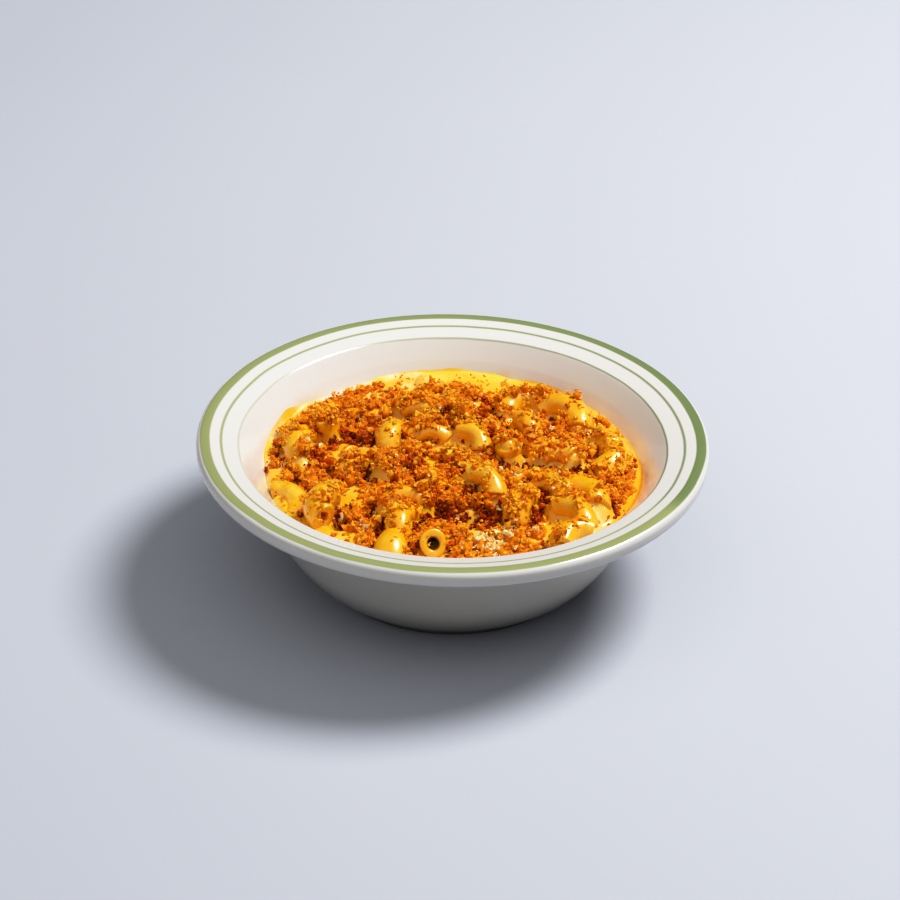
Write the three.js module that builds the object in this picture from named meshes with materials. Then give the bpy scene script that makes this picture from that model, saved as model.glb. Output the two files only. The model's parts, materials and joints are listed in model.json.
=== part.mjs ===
// A bowl of mac and cheese: a thick rimmed ceramic bowl on a foot ring, the cheese sauce that
// fills it and the heap of elbow macaroni that stands out of the sauce.
// Millimetres, +Z up. The origin is on the table, at the middle of the foot ring.

import * as THREE from 'three';

// ---- Bowl -----------------------------------------------------------------------------------
const BOWL_HEIGHT = 49.8; // table to the crown of the rim
const RIM_RADIUS = 82.5; // widest point of the rolled lip
const LIP_DEPTH = 5.2; // height of the lip's edge
const LIP_ROUND = 2.0; // rounding of the lip's two outer corners
const RIM_SLOPE = 0.27; // fall of the rim's top for each millimetre inwards
const CROWN_WIDTH = 1.9; // level band just inside the lip's top corner
const WELL_RADIUS = 69.0; // where the rim's top turns down into the well
const WELL_TURN = 1.6; // rounding of that turn
const FLOOR_TOP = 7.0; // inside floor of the bowl
const FLOOR_UNDER = 2.8; // recessed underside, inside the foot ring
const FLOOR_RADIUS = 30.0; // flat part of the inside floor
const FOOT_RADIUS = 42.0; // outside of the foot ring
const FOOT_WIDTH = 5.5; // width of the foot ring
const FOOT_CHAMFER = 0.7; // eased edges of the foot ring
const NECK = 1.0; // how far the wall starts outside the foot ring
const BOWL_TURNS = 60; // flats round the bowl

// ---- Contents -------------------------------------------------------------------------------
const GAP = 0.35; // gap between the bowl, the sauce and the macaroni
const SAUCE_LEVEL = 38.4; // where the sauce meets the wall
const POOL_DIP = 1.0; // the sauce stands that much lower away from the wall
const POOL_WIDTH = 3.2; // open sauce between the wall and the heap
const BED_DEPTH = 8.0; // how deep the heap is bedded in the sauce
const HEAP_RADIUS = 57.6; // the heap's reach where it is widest
const HEAP_WANDER = 1.8; // how far its outline wanders in and out
const BACK_POOL = 6.0; // the heap stands back that much at +Y, where sauce has pooled
const BACK_POOL_SPREAD = 0.5; // half the pool's angle, in radians
const HEAP_EDGE = 1.4; // height of its edge above the sauce
const HEAP_RISE = 3.9; // rise of the dome that the macaroni lies on
const HEAP_RINGS = 21; // rings of facets over the heap
const BED_RINGS = 4; // rings of facets under it
const HEAP_TOP = 45.2; // nothing in the heap stands higher

// ---- Elbow macaroni -------------------------------------------------------------------------
const ELBOW_COUNT = 38; // elbows that show in the heap
const ELBOW_BORE = 4.4; // radius of a sauce-coated tube
const ELBOW_BEND = 8.5; // radius of its curved middle line
const ELBOW_ARC = THREE.MathUtils.degToRad(118); // angle that it turns through
const ELBOW_STEPS = 8; // stretches along the middle line
const ELBOW_SUNK = 1.7; // how far the middle lines lie under the dome
const GOLDEN_ANGLE = Math.PI * (3 - Math.sqrt(5));

/** Points of a circular arc in the (radius, height) plane, from angle a to angle b in degrees. */
function arc(centreR, centreZ, radius, a, b, steps) {
  const points = [];
  for (let i = 0; i <= steps; i += 1) {
    const t = THREE.MathUtils.degToRad(a + ((b - a) * i) / steps);
    points.push(new THREE.Vector2(centreR + radius * Math.cos(t), centreZ + radius * Math.sin(t)));
  }
  return points;
}

/** A cubic curve in the (radius, height) plane, given by its four handles. */
function cubic(...handles) {
  return new THREE.CubicBezierCurve(...handles.map(([r, z]) => new THREE.Vector2(r, z)));
}

/** The rim's top falls evenly from its crown towards the well. */
function rimTop(radius) {
  const crownInside = RIM_RADIUS - LIP_ROUND - CROWN_WIDTH;
  return BOWL_HEIGHT - RIM_SLOPE * Math.max(0, crownInside - radius);
}

/** Inside wall, from the turn at the top of the well down to the flat floor. */
function insideWall() {
  const top = [WELL_RADIUS - 1.2, rimTop(WELL_RADIUS) - 1.4];
  return cubic(top, [56.0, 35.5], [52.0, FLOOR_TOP], [FLOOR_RADIUS, FLOOR_TOP]);
}

/** Outside wall, from the neck over the foot ring up to the underside of the rim. */
function outsideWall() {
  const under = BOWL_HEIGHT - LIP_DEPTH - 1.0;
  return cubic([FOOT_RADIUS + NECK, 3.4], [53.0, 4.2], [60.5, 27.5], [72.8, under]);
}

/** Radius of the inside wall at a height, found by walking down its curve. */
function insideRadiusAt(height) {
  const curve = insideWall();
  let low = 0;
  let high = 1;
  for (let i = 0; i < 40; i += 1) {
    const middle = (low + high) / 2;
    if (curve.getPoint(middle).y > height) low = middle;
    else high = middle;
  }
  return curve.getPoint(low).x;
}

/** Bowl section, closed on the axis: underside, foot ring, outside wall, lip, rim, well. */
function bowlProfile() {
  const footInside = FOOT_RADIUS - FOOT_WIDTH;
  const lipMiddle = RIM_RADIUS - LIP_ROUND;
  const lipBottom = BOWL_HEIGHT - LIP_DEPTH;
  const rimEnd = WELL_RADIUS + WELL_TURN / 2;
  return [
    new THREE.Vector2(0, FLOOR_UNDER),
    new THREE.Vector2(footInside - 1.2, FLOOR_UNDER),
    new THREE.Vector2(footInside, FOOT_CHAMFER),
    new THREE.Vector2(footInside + FOOT_CHAMFER, 0),
    new THREE.Vector2(FOOT_RADIUS - FOOT_CHAMFER, 0),
    new THREE.Vector2(FOOT_RADIUS, FOOT_CHAMFER),
    new THREE.Vector2(FOOT_RADIUS + NECK / 2, 2.8),
    ...outsideWall().getPoints(9),
    ...arc(lipMiddle, lipBottom + LIP_ROUND, LIP_ROUND, -90, 0, 3),
    ...arc(lipMiddle, BOWL_HEIGHT - LIP_ROUND, LIP_ROUND, 0, 90, 3),
    new THREE.Vector2(lipMiddle - CROWN_WIDTH, BOWL_HEIGHT),
    new THREE.Vector2(rimEnd, rimTop(rimEnd)),
    new THREE.Vector2(WELL_RADIUS - 0.3, rimTop(WELL_RADIUS) - 0.35),
    ...insideWall().getPoints(10),
    new THREE.Vector2(0, FLOOR_TOP),
  ];
}

/** Height of the sauce under and round the heap: a ring of open sauce, then a shallow bed. */
function sauceTop(radius) {
  const wall = insideRadiusAt(SAUCE_LEVEL) - GAP;
  const bedEdge = wall - POOL_WIDTH;
  if (radius > bedEdge) {
    const across = (wall - radius) / POOL_WIDTH;
    return SAUCE_LEVEL - POOL_DIP * Math.sin((across * Math.PI) / 2);
  }
  const inwards = 1 - radius / bedEdge;
  return SAUCE_LEVEL - POOL_DIP - BED_DEPTH * Math.sin((inwards * Math.PI) / 2);
}

/** Sauce section: down the inside of the wall, across the floor and back over the bed. */
function sauceProfile() {
  const wall = insideRadiusAt(SAUCE_LEVEL) - GAP;
  const bedEdge = wall - POOL_WIDTH;
  const bottom = FLOOR_TOP + GAP;
  const points = [new THREE.Vector2(0, bottom)];
  const sideSteps = 7;
  for (let i = 0; i <= sideSteps; i += 1) {
    const height = THREE.MathUtils.lerp(bottom + 0.4, SAUCE_LEVEL, (i / sideSteps) ** 1.6);
    points.push(new THREE.Vector2(insideRadiusAt(height) - GAP * 1.4, height));
  }
  for (const radius of [wall - POOL_WIDTH / 2, bedEdge, bedEdge * 0.75, bedEdge * 0.5, bedEdge * 0.25, 0]) {
    points.push(new THREE.Vector2(radius, sauceTop(radius)));
  }
  return points;
}

/** Radius of the heap's uneven outline in the direction of an angle. */
function heapRadius(angle) {
  const lobes = Math.sin(3 * angle + 0.6) + 0.7 * Math.sin(5 * angle + 2.1) + 0.5 * Math.sin(11 * angle);
  const fromBack = Math.atan2(Math.cos(angle), Math.sin(angle)) / BACK_POOL_SPREAD;
  const pool = BACK_POOL * Math.exp(-(fromBack ** 2));
  return HEAP_RADIUS - pool - HEAP_WANDER * (0.5 - lobes / 4.4);
}

/** Smooth dome under the elbows, with a few low swells. */
function domeTop(x, y) {
  const edge = Math.min(1, Math.hypot(x, y) / HEAP_RADIUS);
  const swell = 0.5 * Math.sin(x / 13 + 0.8) * Math.cos(y / 11 - 0.4);
  return SAUCE_LEVEL + (HEAP_RISE + swell) * (1 - edge ** 2.4);
}

/** Middle line of each elbow, laid out like the seeds of a sunflower, each turned its own way. */
function elbowMiddleLines() {
  const lines = [];
  for (let k = 0; k < ELBOW_COUNT; k += 1) {
    const place = k * GOLDEN_ANGLE;
    const out = (HEAP_RADIUS - ELBOW_BORE - 2) * Math.sqrt((k + 0.5) / ELBOW_COUNT);
    const heading = k * 2.399 + Math.sin(k * 1.7) * 1.3;
    const lean = 0.35 * Math.sin(k * 2.9);
    const centre = new THREE.Vector3(out * Math.cos(place), out * Math.sin(place), 0);
    centre.z = domeTop(centre.x, centre.y) - ELBOW_SUNK;
    const turn = new THREE.Matrix4().makeRotationZ(heading);
    turn.multiply(new THREE.Matrix4().makeRotationX(lean));
    const line = [];
    for (let i = 0; i <= ELBOW_STEPS; i += 1) {
      const t = ELBOW_ARC * (i / ELBOW_STEPS - 0.5);
      const point = new THREE.Vector3(ELBOW_BEND * Math.sin(t), ELBOW_BEND * (Math.cos(t) - 0.8), 0);
      line.push(point.applyMatrix4(turn).add(centre));
    }
    lines.push(line);
  }
  return lines;
}

/** Height of the heap at a point: the dome, or the highest elbow that passes over the point. */
function heapTop(x, y, lines) {
  let top = domeTop(x, y) - 0.6;
  for (const line of lines) {
    for (const point of line) {
      const off = Math.hypot(x - point.x, y - point.y);
      if (off < ELBOW_BORE) top = Math.max(top, point.z + Math.sqrt(ELBOW_BORE ** 2 - off ** 2));
    }
  }
  return Math.min(top, HEAP_TOP);
}

/** Turns a closed profile round the Z axis. */
function turned(profile) {
  const geometry = new THREE.LatheGeometry(profile, BOWL_TURNS);
  geometry.rotateX(Math.PI / 2);
  return geometry;
}

/**
 * The heap. Its top is a set of rings, each with six more points than the last; its bedded
 * underside is a few rings with as many points as the outline, and a low upright edge joins them.
 */
function heapGeometry() {
  const lines = elbowMiddleLines();
  const around = 6 * HEAP_RINGS;
  const positions = [];
  const index = [];

  const addRing = (count, share, heightAt) => {
    const start = positions.length / 3;
    for (let i = 0; i < count; i += 1) {
      const angle = (i * 2 * Math.PI) / count;
      const out = heapRadius(angle) * share;
      const x = out * Math.cos(angle);
      const y = out * Math.sin(angle);
      positions.push(x, y, heightAt(x, y, share));
    }
    return start;
  };

  const bed = (x, y) => sauceTop(Math.hypot(x, y)) + GAP * 1.4;
  const crust = (x, y, share) => {
    const low = sauceTop(Math.hypot(x, y)) + HEAP_EDGE;
    const blend = THREE.MathUtils.smoothstep(share, 0.94, 1.0);
    return Math.max(low, THREE.MathUtils.lerp(heapTop(x, y, lines), low, blend));
  };

  let inner = addRing(1, 0, crust);
  for (let ring = 1; ring <= HEAP_RINGS; ring += 1) {
    const outer = addRing(6 * ring, ring / HEAP_RINGS, crust);
    const innerCount = Math.max(1, 6 * (ring - 1));
    for (let side = 0; side < 6; side += 1) {
      for (let i = 0; i < ring; i += 1) {
        const here = inner + ((side * (ring - 1) + i) % innerCount);
        const next = outer + ((side * ring + i + 1) % (6 * ring));
        index.push(here, outer + side * ring + i, next);
        if (i < ring - 1) {
          index.push(here, next, inner + ((side * (ring - 1) + i + 1) % innerCount));
        }
      }
    }
    inner = outer;
  }

  for (let ring = BED_RINGS; ring >= 1; ring -= 1) {
    const lower = addRing(around, ring / BED_RINGS, bed);
    for (let i = 0; i < around; i += 1) {
      const next = (i + 1) % around;
      index.push(inner + i, lower + i, lower + next);
      index.push(inner + i, lower + next, inner + next);
    }
    inner = lower;
  }
  const middle = addRing(1, 0, bed);
  for (let i = 0; i < around; i += 1) {
    index.push(inner + i, middle, inner + ((i + 1) % around));
  }

  const geometry = new THREE.BufferGeometry();
  geometry.setAttribute('position', new THREE.Float32BufferAttribute(positions, 3));
  geometry.setIndex(index);
  return geometry;
}

const glaze = new THREE.MeshStandardMaterial({ color: 0xf6f3ec, roughness: 0.15, metalness: 0 });
const cheese = new THREE.MeshStandardMaterial({ color: 0xf6b93b, roughness: 0.3, metalness: 0 });
const pasta = new THREE.MeshStandardMaterial({ color: 0xd9822b, roughness: 0.6, metalness: 0 });

const part = new THREE.Group();

function add(name, geometry, material) {
  geometry.computeVertexNormals();
  const mesh = new THREE.Mesh(geometry, material);
  mesh.name = name;
  part.add(mesh);
}

add('bowl', turned(bowlProfile()), glaze);
add('cheese_sauce', turned(sauceProfile()), cheese);
add('macaroni', heapGeometry(), pasta);

export default part;
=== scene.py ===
"""Mac and cheese in a rimmed bowl: glazed bowl, sauce, elbow macaroni, toasted crumbs and a stage."""

import json
import math

import bmesh
import bpy
import numpy as np
from bpy.props import FloatProperty, FloatVectorProperty, IntProperty, PointerProperty
from mathutils import Euler, Matrix, Vector

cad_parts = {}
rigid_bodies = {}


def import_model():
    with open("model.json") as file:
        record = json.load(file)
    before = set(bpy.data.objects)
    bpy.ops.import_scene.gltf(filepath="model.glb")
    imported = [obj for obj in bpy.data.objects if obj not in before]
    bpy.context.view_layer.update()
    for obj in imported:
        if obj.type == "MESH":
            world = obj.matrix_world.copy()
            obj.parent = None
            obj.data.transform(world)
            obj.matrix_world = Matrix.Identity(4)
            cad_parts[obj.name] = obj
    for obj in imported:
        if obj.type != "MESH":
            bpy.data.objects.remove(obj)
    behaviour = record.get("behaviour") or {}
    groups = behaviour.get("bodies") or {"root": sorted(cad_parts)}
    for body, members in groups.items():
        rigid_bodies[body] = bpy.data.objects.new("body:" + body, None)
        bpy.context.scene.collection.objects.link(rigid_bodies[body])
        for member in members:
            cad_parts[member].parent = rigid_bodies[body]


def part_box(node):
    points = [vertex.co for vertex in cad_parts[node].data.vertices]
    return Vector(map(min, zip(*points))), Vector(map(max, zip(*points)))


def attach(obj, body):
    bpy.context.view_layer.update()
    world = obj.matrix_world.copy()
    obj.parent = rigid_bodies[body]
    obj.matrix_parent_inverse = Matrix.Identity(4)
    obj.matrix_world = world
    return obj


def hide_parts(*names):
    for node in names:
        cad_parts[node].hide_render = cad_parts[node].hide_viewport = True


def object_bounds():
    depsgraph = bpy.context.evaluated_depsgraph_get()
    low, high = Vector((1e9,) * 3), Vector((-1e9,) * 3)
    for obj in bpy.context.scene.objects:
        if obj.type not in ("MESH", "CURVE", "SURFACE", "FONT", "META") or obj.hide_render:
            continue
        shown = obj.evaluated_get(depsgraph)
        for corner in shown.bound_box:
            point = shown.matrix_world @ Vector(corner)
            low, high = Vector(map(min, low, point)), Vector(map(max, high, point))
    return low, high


bl_info = {
    "name": "Mac and Cheese Bowl",
    "version": (1, 0, 0),
    "blender": (4, 5, 0),
    "location": "View3D > Sidebar > Mac and Cheese",
    "description": "Builds a rimmed bowl of elbow macaroni in cheese sauce under toasted crumbs",
    "category": "Add Mesh",
}

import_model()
CAD_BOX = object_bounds()

MM = 0.001
BODY = "root"
BOWL_LOW, BOWL_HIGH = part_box("bowl")
SAUCE_LOW, SAUCE_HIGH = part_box("cheese_sauce")
HEAP_LOW, HEAP_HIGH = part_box("macaroni")
RIM_RADIUS = BOWL_HIGH.x
BOWL_HEIGHT = BOWL_HIGH.z
SAUCE_LEVEL = SAUCE_HIGH.z
HEAP_RADIUS = HEAP_HIGH.x

# ---- Bowl section, as in the packed model -----------------------------------------------------
LIP_DEPTH = 5.2 * MM
LIP_ROUND = 2.0 * MM
RIM_SLOPE = 0.27
CROWN_WIDTH = 1.9 * MM
WELL_RADIUS = RIM_RADIUS - 13.5 * MM
FLOOR_TOP = 7.0 * MM
FLOOR_UNDER = 2.8 * MM
FLOOR_RADIUS = 30.0 * MM
FOOT_RADIUS = 42.0 * MM
FOOT_WIDTH = 5.5 * MM
FOOT_ROUND = 0.7 * MM
NECK_HEIGHT = 2.9 * MM

# ---- Seeds of what is uneven ---------------------------------------------------------------
ELBOW_SEED = 11
CRUMB_SEED = 23
SHAPE_SEED = 5
LEVEL_SEED = 3
RIPPLE_SEED = 8
PATCH_SEEDS = (41, 43)
LUMP_SEEDS = (51, 52)
TOAST_SEEDS = (77, 78)


# =============================== properties ==================================================
def length(name, description, metres):
    """A size that the user may change."""
    return FloatProperty(
        name=name, description=description, default=metres, min=0.0, unit="LENGTH", precision=5
    )


def turned(name, description, degrees):
    """An angle that the user may change."""
    return FloatProperty(name=name, description=description, default=math.radians(degrees), subtype="ANGLE")


def amount(name, description, number, **more):
    """A plain number that the user may change."""
    return FloatProperty(name=name, description=description, default=number, min=0.0, **more)


def colour(name, description, rgb):
    """A colour that the user may change, in linear light."""
    return FloatVectorProperty(
        name=name, description=description, default=(*rgb, 1.0), size=4, min=0.0, max=1.0, subtype="COLOR"
    )


def count(name, description, number):
    """A whole number that the user may change."""
    return IntProperty(name=name, description=description, default=number, min=0)


class BowlSettings(bpy.types.PropertyGroup):
    """Glaze and painted bands of the bowl."""

    glaze: colour("Glaze", "Colour of the glaze", (0.815, 0.804, 0.780))
    band_light: colour("Band light", "Painted green where the paint is thin", (0.367, 0.403, 0.176))
    band_dark: colour("Band dark", "Painted green where the brush was full", (0.195, 0.262, 0.104))
    broad_outer: length("Broad band outside", "Outer radius of the broad band", 81.3 * MM)
    broad_inner: length("Broad band inside", "Inner radius of the broad band", 78.1 * MM)
    middle_line: length("Middle line", "Radius of the middle line", 74.5 * MM)
    middle_width: length("Middle line width", "Width of the middle line", 0.85 * MM)
    inner_line: length("Inner line", "Radius of the line at the well's edge", 69.0 * MM)
    inner_width: length("Inner line width", "Width of that line", 0.55 * MM)
    turns: count("Turns", "Steps round the bowl", 288)


class SauceSettings(bpy.types.PropertyGroup):
    """Cheese sauce."""

    colour: colour("Sauce", "Colour of the sauce", (1.0, 0.53, 0.012))
    pale: colour("Pale sauce", "Colour where the sauce lies thick and creamy", (1.0, 0.64, 0.065))
    pool: length("Pool level", "Height of the open sauce", SAUCE_LEVEL - 0.8 * MM)
    coat: length("Coat", "How far a bare elbow stands out of the sauce round it", 1.3 * MM)
    rings: count("Rings", "Rings of the sauce's surface", 150)


class PastaSettings(bpy.types.PropertyGroup):
    """Elbow macaroni."""

    colour: colour("Pasta", "Colour of the coated pasta", (1.0, 0.46, 0.0))
    bore: length("Tube radius", "Outside radius of a coated tube", 4.35 * MM)
    hole: length("Hole radius", "Inside radius of a tube", 1.75 * MM)
    bend: length("Bend radius", "Radius of an elbow's middle line", 8.6 * MM)
    number: count("Elbows", "Elbows in the heap besides those set by hand", 46)


class CrumbSettings(bpy.types.PropertyGroup):
    """Toasted crumbs."""

    golden: colour("Golden", "Light toasted crumbs", (1.0, 0.54, 0.022))
    amber: colour("Amber", "Well toasted crumbs", (1.0, 0.315, 0.003))
    brown: colour("Brown", "Dark toasted crumbs", (0.62, 0.078, 0.0005))
    pale: colour("Pale", "Crumbs that stayed pale, and grated cheese", (1.0, 0.84, 0.38))
    burnt: colour("Burnt", "The darkest crumbs", (0.23, 0.013, 0.0002))
    # Painted highlight on the crumbs' points
    bright: colour("Bright points", "Points of the crumbs that catch the light", (1.0, 0.68, 0.11))
    number: count("Crumbs", "Crumbs that fall on the food", 20000)
    fine_number: count("Fine crumbs", "Crumbs under a millimetre that fall last", 9000)


class StageSettings(bpy.types.PropertyGroup):
    """Floor, lights and camera."""

    floor: colour("Floor", "Colour of the floor", (0.572, 0.60, 0.677))
    key_power: amount("Key light", "Power of the main light", 19.9, unit="POWER")
    fill: amount("Fill", "Brightness of the broad light above the camera", 0.83)
    bounce: amount("Bounce", "Share of light that the floor throws back up", 0.6)
    distance: length("Camera distance", "From the camera to the point that it looks at", 0.9)
    elevation: turned("Elevation", "Camera's angle above the table", 31.0)
    roll: turned("Roll", "Camera's tilt to one side", 1.26)


SETTINGS = {
    "mac_bowl": BowlSettings,
    "mac_sauce": SauceSettings,
    "mac_pasta": PastaSettings,
    "mac_crumbs": CrumbSettings,
    "mac_stage": StageSettings,
}


# =============================== node trees ==================================================
class Value:
    """A number or a colour in a node tree, on which plain sums can be done."""

    def __init__(self, tree, socket):
        self.tree = tree
        self.socket = socket

    def __add__(self, other):
        return calc(self.tree, "ADD", self, other)

    def __sub__(self, other):
        return calc(self.tree, "SUBTRACT", self, other)

    def __rsub__(self, other):
        return calc(self.tree, "SUBTRACT", other, self)

    def __mul__(self, other):
        return calc(self.tree, "MULTIPLY", self, other)

    def __truediv__(self, other):
        return calc(self.tree, "DIVIDE", self, other)

    __radd__ = __add__
    __rmul__ = __mul__

    def most(self, other):
        """The larger of two numbers."""
        return calc(self.tree, "MAXIMUM", self, other)

    def span(self, low, high, to_low=0.0, to_high=1.0):
        """The number taken smoothly from low..high onto to_low..to_high."""
        sockets = {"Value": self, "From Min": low, "From Max": high, "To Min": to_low, "To Max": to_high}
        node = put(self.tree, "ShaderNodeMapRange", sockets, interpolation_type="SMOOTHSTEP")
        return Value(self.tree, node.outputs[0])


def feed(tree, socket, value):
    """Links a socket to a value of the tree, or sets it to a plain one."""
    if isinstance(value, Value):
        value = value.socket
    if isinstance(value, bpy.types.NodeSocket):
        tree.links.new(value, socket)
    else:
        socket.default_value = value


def put(tree, kind, inputs=None, **settings):
    """Adds a node, with its settings and its inputs, by name or number."""
    node = tree.nodes.new(kind)
    for key, value in settings.items():
        setattr(node, key, value)
    for key, value in (inputs or {}).items():
        feed(tree, node.inputs[key], value)
    return node


def calc(tree, operation, *terms):
    """A sum on numbers, in any kind of node tree."""
    node = put(tree, "ShaderNodeMath", dict(enumerate(terms)), operation=operation)
    return Value(tree, node.outputs[0])


class Finish:
    """A material in the making: its tree, its surface shader and the object's own coordinates."""

    def __init__(self, name):
        self.material = bpy.data.materials.new(name)
        self.material.use_nodes = True
        self.tree = self.material.node_tree
        self.tree.nodes.clear()
        self.shader = put(self.tree, "ShaderNodeBsdfPrincipled")
        put(self.tree, "ShaderNodeOutputMaterial", {"Surface": self.shader.outputs[0]})
        self.where = put(self.tree, "ShaderNodeTexCoord").outputs["Object"]

    def place(self):
        """X, Y and Z, and the distance from the Z axis."""
        parts = put(self.tree, "ShaderNodeSeparateXYZ", {0: self.where})
        x, y, z = (Value(self.tree, out) for out in parts.outputs)
        return x, y, z, calc(self.tree, "SQRT", x * x + y * y)

    def carried(self, name):
        """A number that the mesh carries."""
        return Value(self.tree, put(self.tree, "ShaderNodeAttribute", attribute_name=name).outputs["Fac"])

    def noise(self, scale, detail=3.0, roughness=0.5, distortion=0.0, where=None):
        """Smooth noise, with about that many swells to the metre."""
        sockets = {
            "Vector": self.where if where is None else where,
            "Scale": scale,
            "Detail": detail,
            "Roughness": roughness,
            "Distortion": distortion,
        }
        return Value(self.tree, put(self.tree, "ShaderNodeTexNoise", sockets).outputs["Fac"])

    def mix(self, share, a, b, how="MIX"):
        """Colour a turning into colour b as share goes from 0 to 1."""
        colours = {0: share, 6: a, 7: b}  # the mix node's own sockets for colours
        node = put(self.tree, "ShaderNodeMix", colours, data_type="RGBA", blend_type=how)
        return Value(self.tree, node.outputs[2])

    def relief(self, height, distance, strength):
        """Fine relief on the surface."""
        sockets = {"Height": height, "Distance": distance, "Strength": strength}
        bump = put(self.tree, "ShaderNodeBump", sockets)
        self.surface({"Normal": bump.outputs[0]})

    def surface(self, inputs):
        """Feeds the surface shader's inputs, and gives the material."""
        for name, value in inputs.items():
            feed(self.tree, self.shader.inputs[name], value)
        return self.material


# =============================== materials ===================================================
CREAMIER_GLAZE = (0.797, 0.775, 0.725, 1.0)
GLAZE_SPECK = (0.55, 0.45, 0.33, 1.0)
# Painted shade on the outside wall: the glaze is multiplied by these, a little under the rim and much more
# near the foot
PAINTED_WALL_SHADE = (0.95, 0.925, 0.87, 1.0)  # what the glaze is multiplied by under the rim
PAINTED_FOOT_SHADE = (0.24, 0.225, 0.21, 1.0)  # and near the foot
# Unglazed foot ring, painted near-black as the shade where it stands on the floor
SHADED_BARE_FOOT = (0.10, 0.085, 0.07, 1.0)
THIN_SAUCE = (0.86, 0.60, 0.25, 1.0)
CREAM_AND_HIGHLIGHT = (1.0, 0.88, 0.55, 1.0)
# Painted shade of the sauce along the wall on the right
SHADED_SAUCE_RIM = (0.93, 0.40, 0.01, 1.0)
SAUCE_FLECK = (0.80, 0.27, 0.02, 1.0)
# Painted shade and painted light inside the elbows' tubes
PAINTED_TUBE_SHADE = (0.20, 0.03, 0.002, 1.0)
PAINTED_TUBE_LIGHT = (0.85, 0.27, 0.01, 1.0)

# Light sinks into sauce and pasta and comes out warmer, and their skin is wet
WET_SKIN = {
    "Subsurface Weight": 0.2,
    "Subsurface Radius": (1.0, 0.7, 0.3),
    "Subsurface Scale": 1.0 * MM,
    "IOR": 1.4,
    "Specular IOR Level": 0.35,
    "Coat Weight": 1.0,
    "Coat IOR": 1.55,
    "Coat Roughness": 0.3,
}
# Toasted crumbs are dry, and glow a little where they are thin
DRY_CRUMB = {
    "Roughness": 0.5,
    "Specular IOR Level": 0.1,
    "Subsurface Weight": 0.25,
    "Subsurface Radius": (1.0, 0.35, 0.06),
    "Subsurface Scale": 0.7 * MM,
}

# Angle at which the brush was set down, a little to the front of +X
BRUSH_SEAM = -0.62
# Thin sauce left on the wall: angle and half width in radians, height in mm, strength
SAUCE_MARKS = ((2.52, 0.3, 2.4, 0.5), (-0.19, 0.4, 5.0, 0.6), (1.29, 0.09, 1.6, 0.5), (3.0, 0.3, 1.6, 0.4))
# Where the sauce is painted nearly white, partly creamy sauce and partly painted highlight: x, y, reach in mm
CREAM_AND_HIGHLIGHT_SPOTS = (
    (-44, 37, 14), (-33, 46, 12), (-17, 56, 9), (-56, 18, 9), (-58, -4, 8),
    (9, 45, 5), (18.5, 40, 5), (44, -38, 10), (52, -1, 5), (-49, -20, 4),
)


def painted_bands(finish, bowl, radius, angle, z):
    """How far the green bands cover each place on the rim, and their green."""
    tree = finish.tree
    round_it = put(tree, "ShaderNodeVectorMath", {0: finish.where}, operation="NORMALIZE").outputs[0]
    painted = radius + (finish.noise(3.0, 2.0, where=round_it) - 0.5) * (0.9 * MM)

    # The loaded brush ran out on its way round by the back.
    turn = calc(tree, "FRACT", (angle - BRUSH_SEAM) / (2 * math.pi))
    loaded = (1.0 - turn.span(0.10, 0.62)) * turn.span(0.0, 0.03)
    along_brush = put(tree, "ShaderNodeCombineXYZ", {0: turn * 9.0, 1: radius * 2600.0}).outputs[0]
    streaks = finish.noise(1.0, 3.0, 0.6, where=along_brush)
    thickness = (loaded * 0.75 + streaks * 0.5).span(0.12, 1.15)
    green = finish.mix(thickness, tuple(bowl.band_light), tuple(bowl.band_dark))

    def band(low, high, soft, strength):
        return (painted.span(low - soft, low + soft) - painted.span(high - soft, high + soft)) * strength

    def line(middle, width, soft, strength):
        return band(middle - width / 2, middle + width / 2, soft, strength)

    broad = band(bowl.broad_inner, bowl.broad_outer, 0.28 * MM, 0.97)
    middle = line(bowl.middle_line, bowl.middle_width, 0.3 * MM, 0.86)
    inner = line(bowl.inner_line, bowl.inner_width, 0.25 * MM, 1.0) * (0.4 + loaded * 0.5)
    lip_low = BOWL_HEIGHT - LIP_DEPTH
    on_top = z.span(lip_low, lip_low + 1.5 * MM)
    return broad.most(middle.most(inner)) * on_top, green


def sauce_marks(finish, radius, angle, z, outside):
    """Thin sauce, left on the inside wall where the serving was spooned in."""
    wall = z.span(SAUCE_LEVEL - 3 * MM, SAUCE_LEVEL) * radius.span(58 * MM, 60 * MM)
    wall = wall * outside.span(0.0, 0.01, 1.0, 0.0)
    patchy = finish.noise(130.0)
    marks = wall * 0.0
    for at, half_width, height, strength in SAUCE_MARKS:
        near = 1.0 - calc(finish.tree, "ABSOLUTE", angle - at).span(0.0, half_width)
        top = SAUCE_LEVEL + near * patchy * (2.2 * height * MM)
        low_enough = 1.0 - (z - top).span(-2.5 * MM, 1.0 * MM)
        marks = marks.most(near * low_enough * strength * wall)
    return marks


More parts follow.
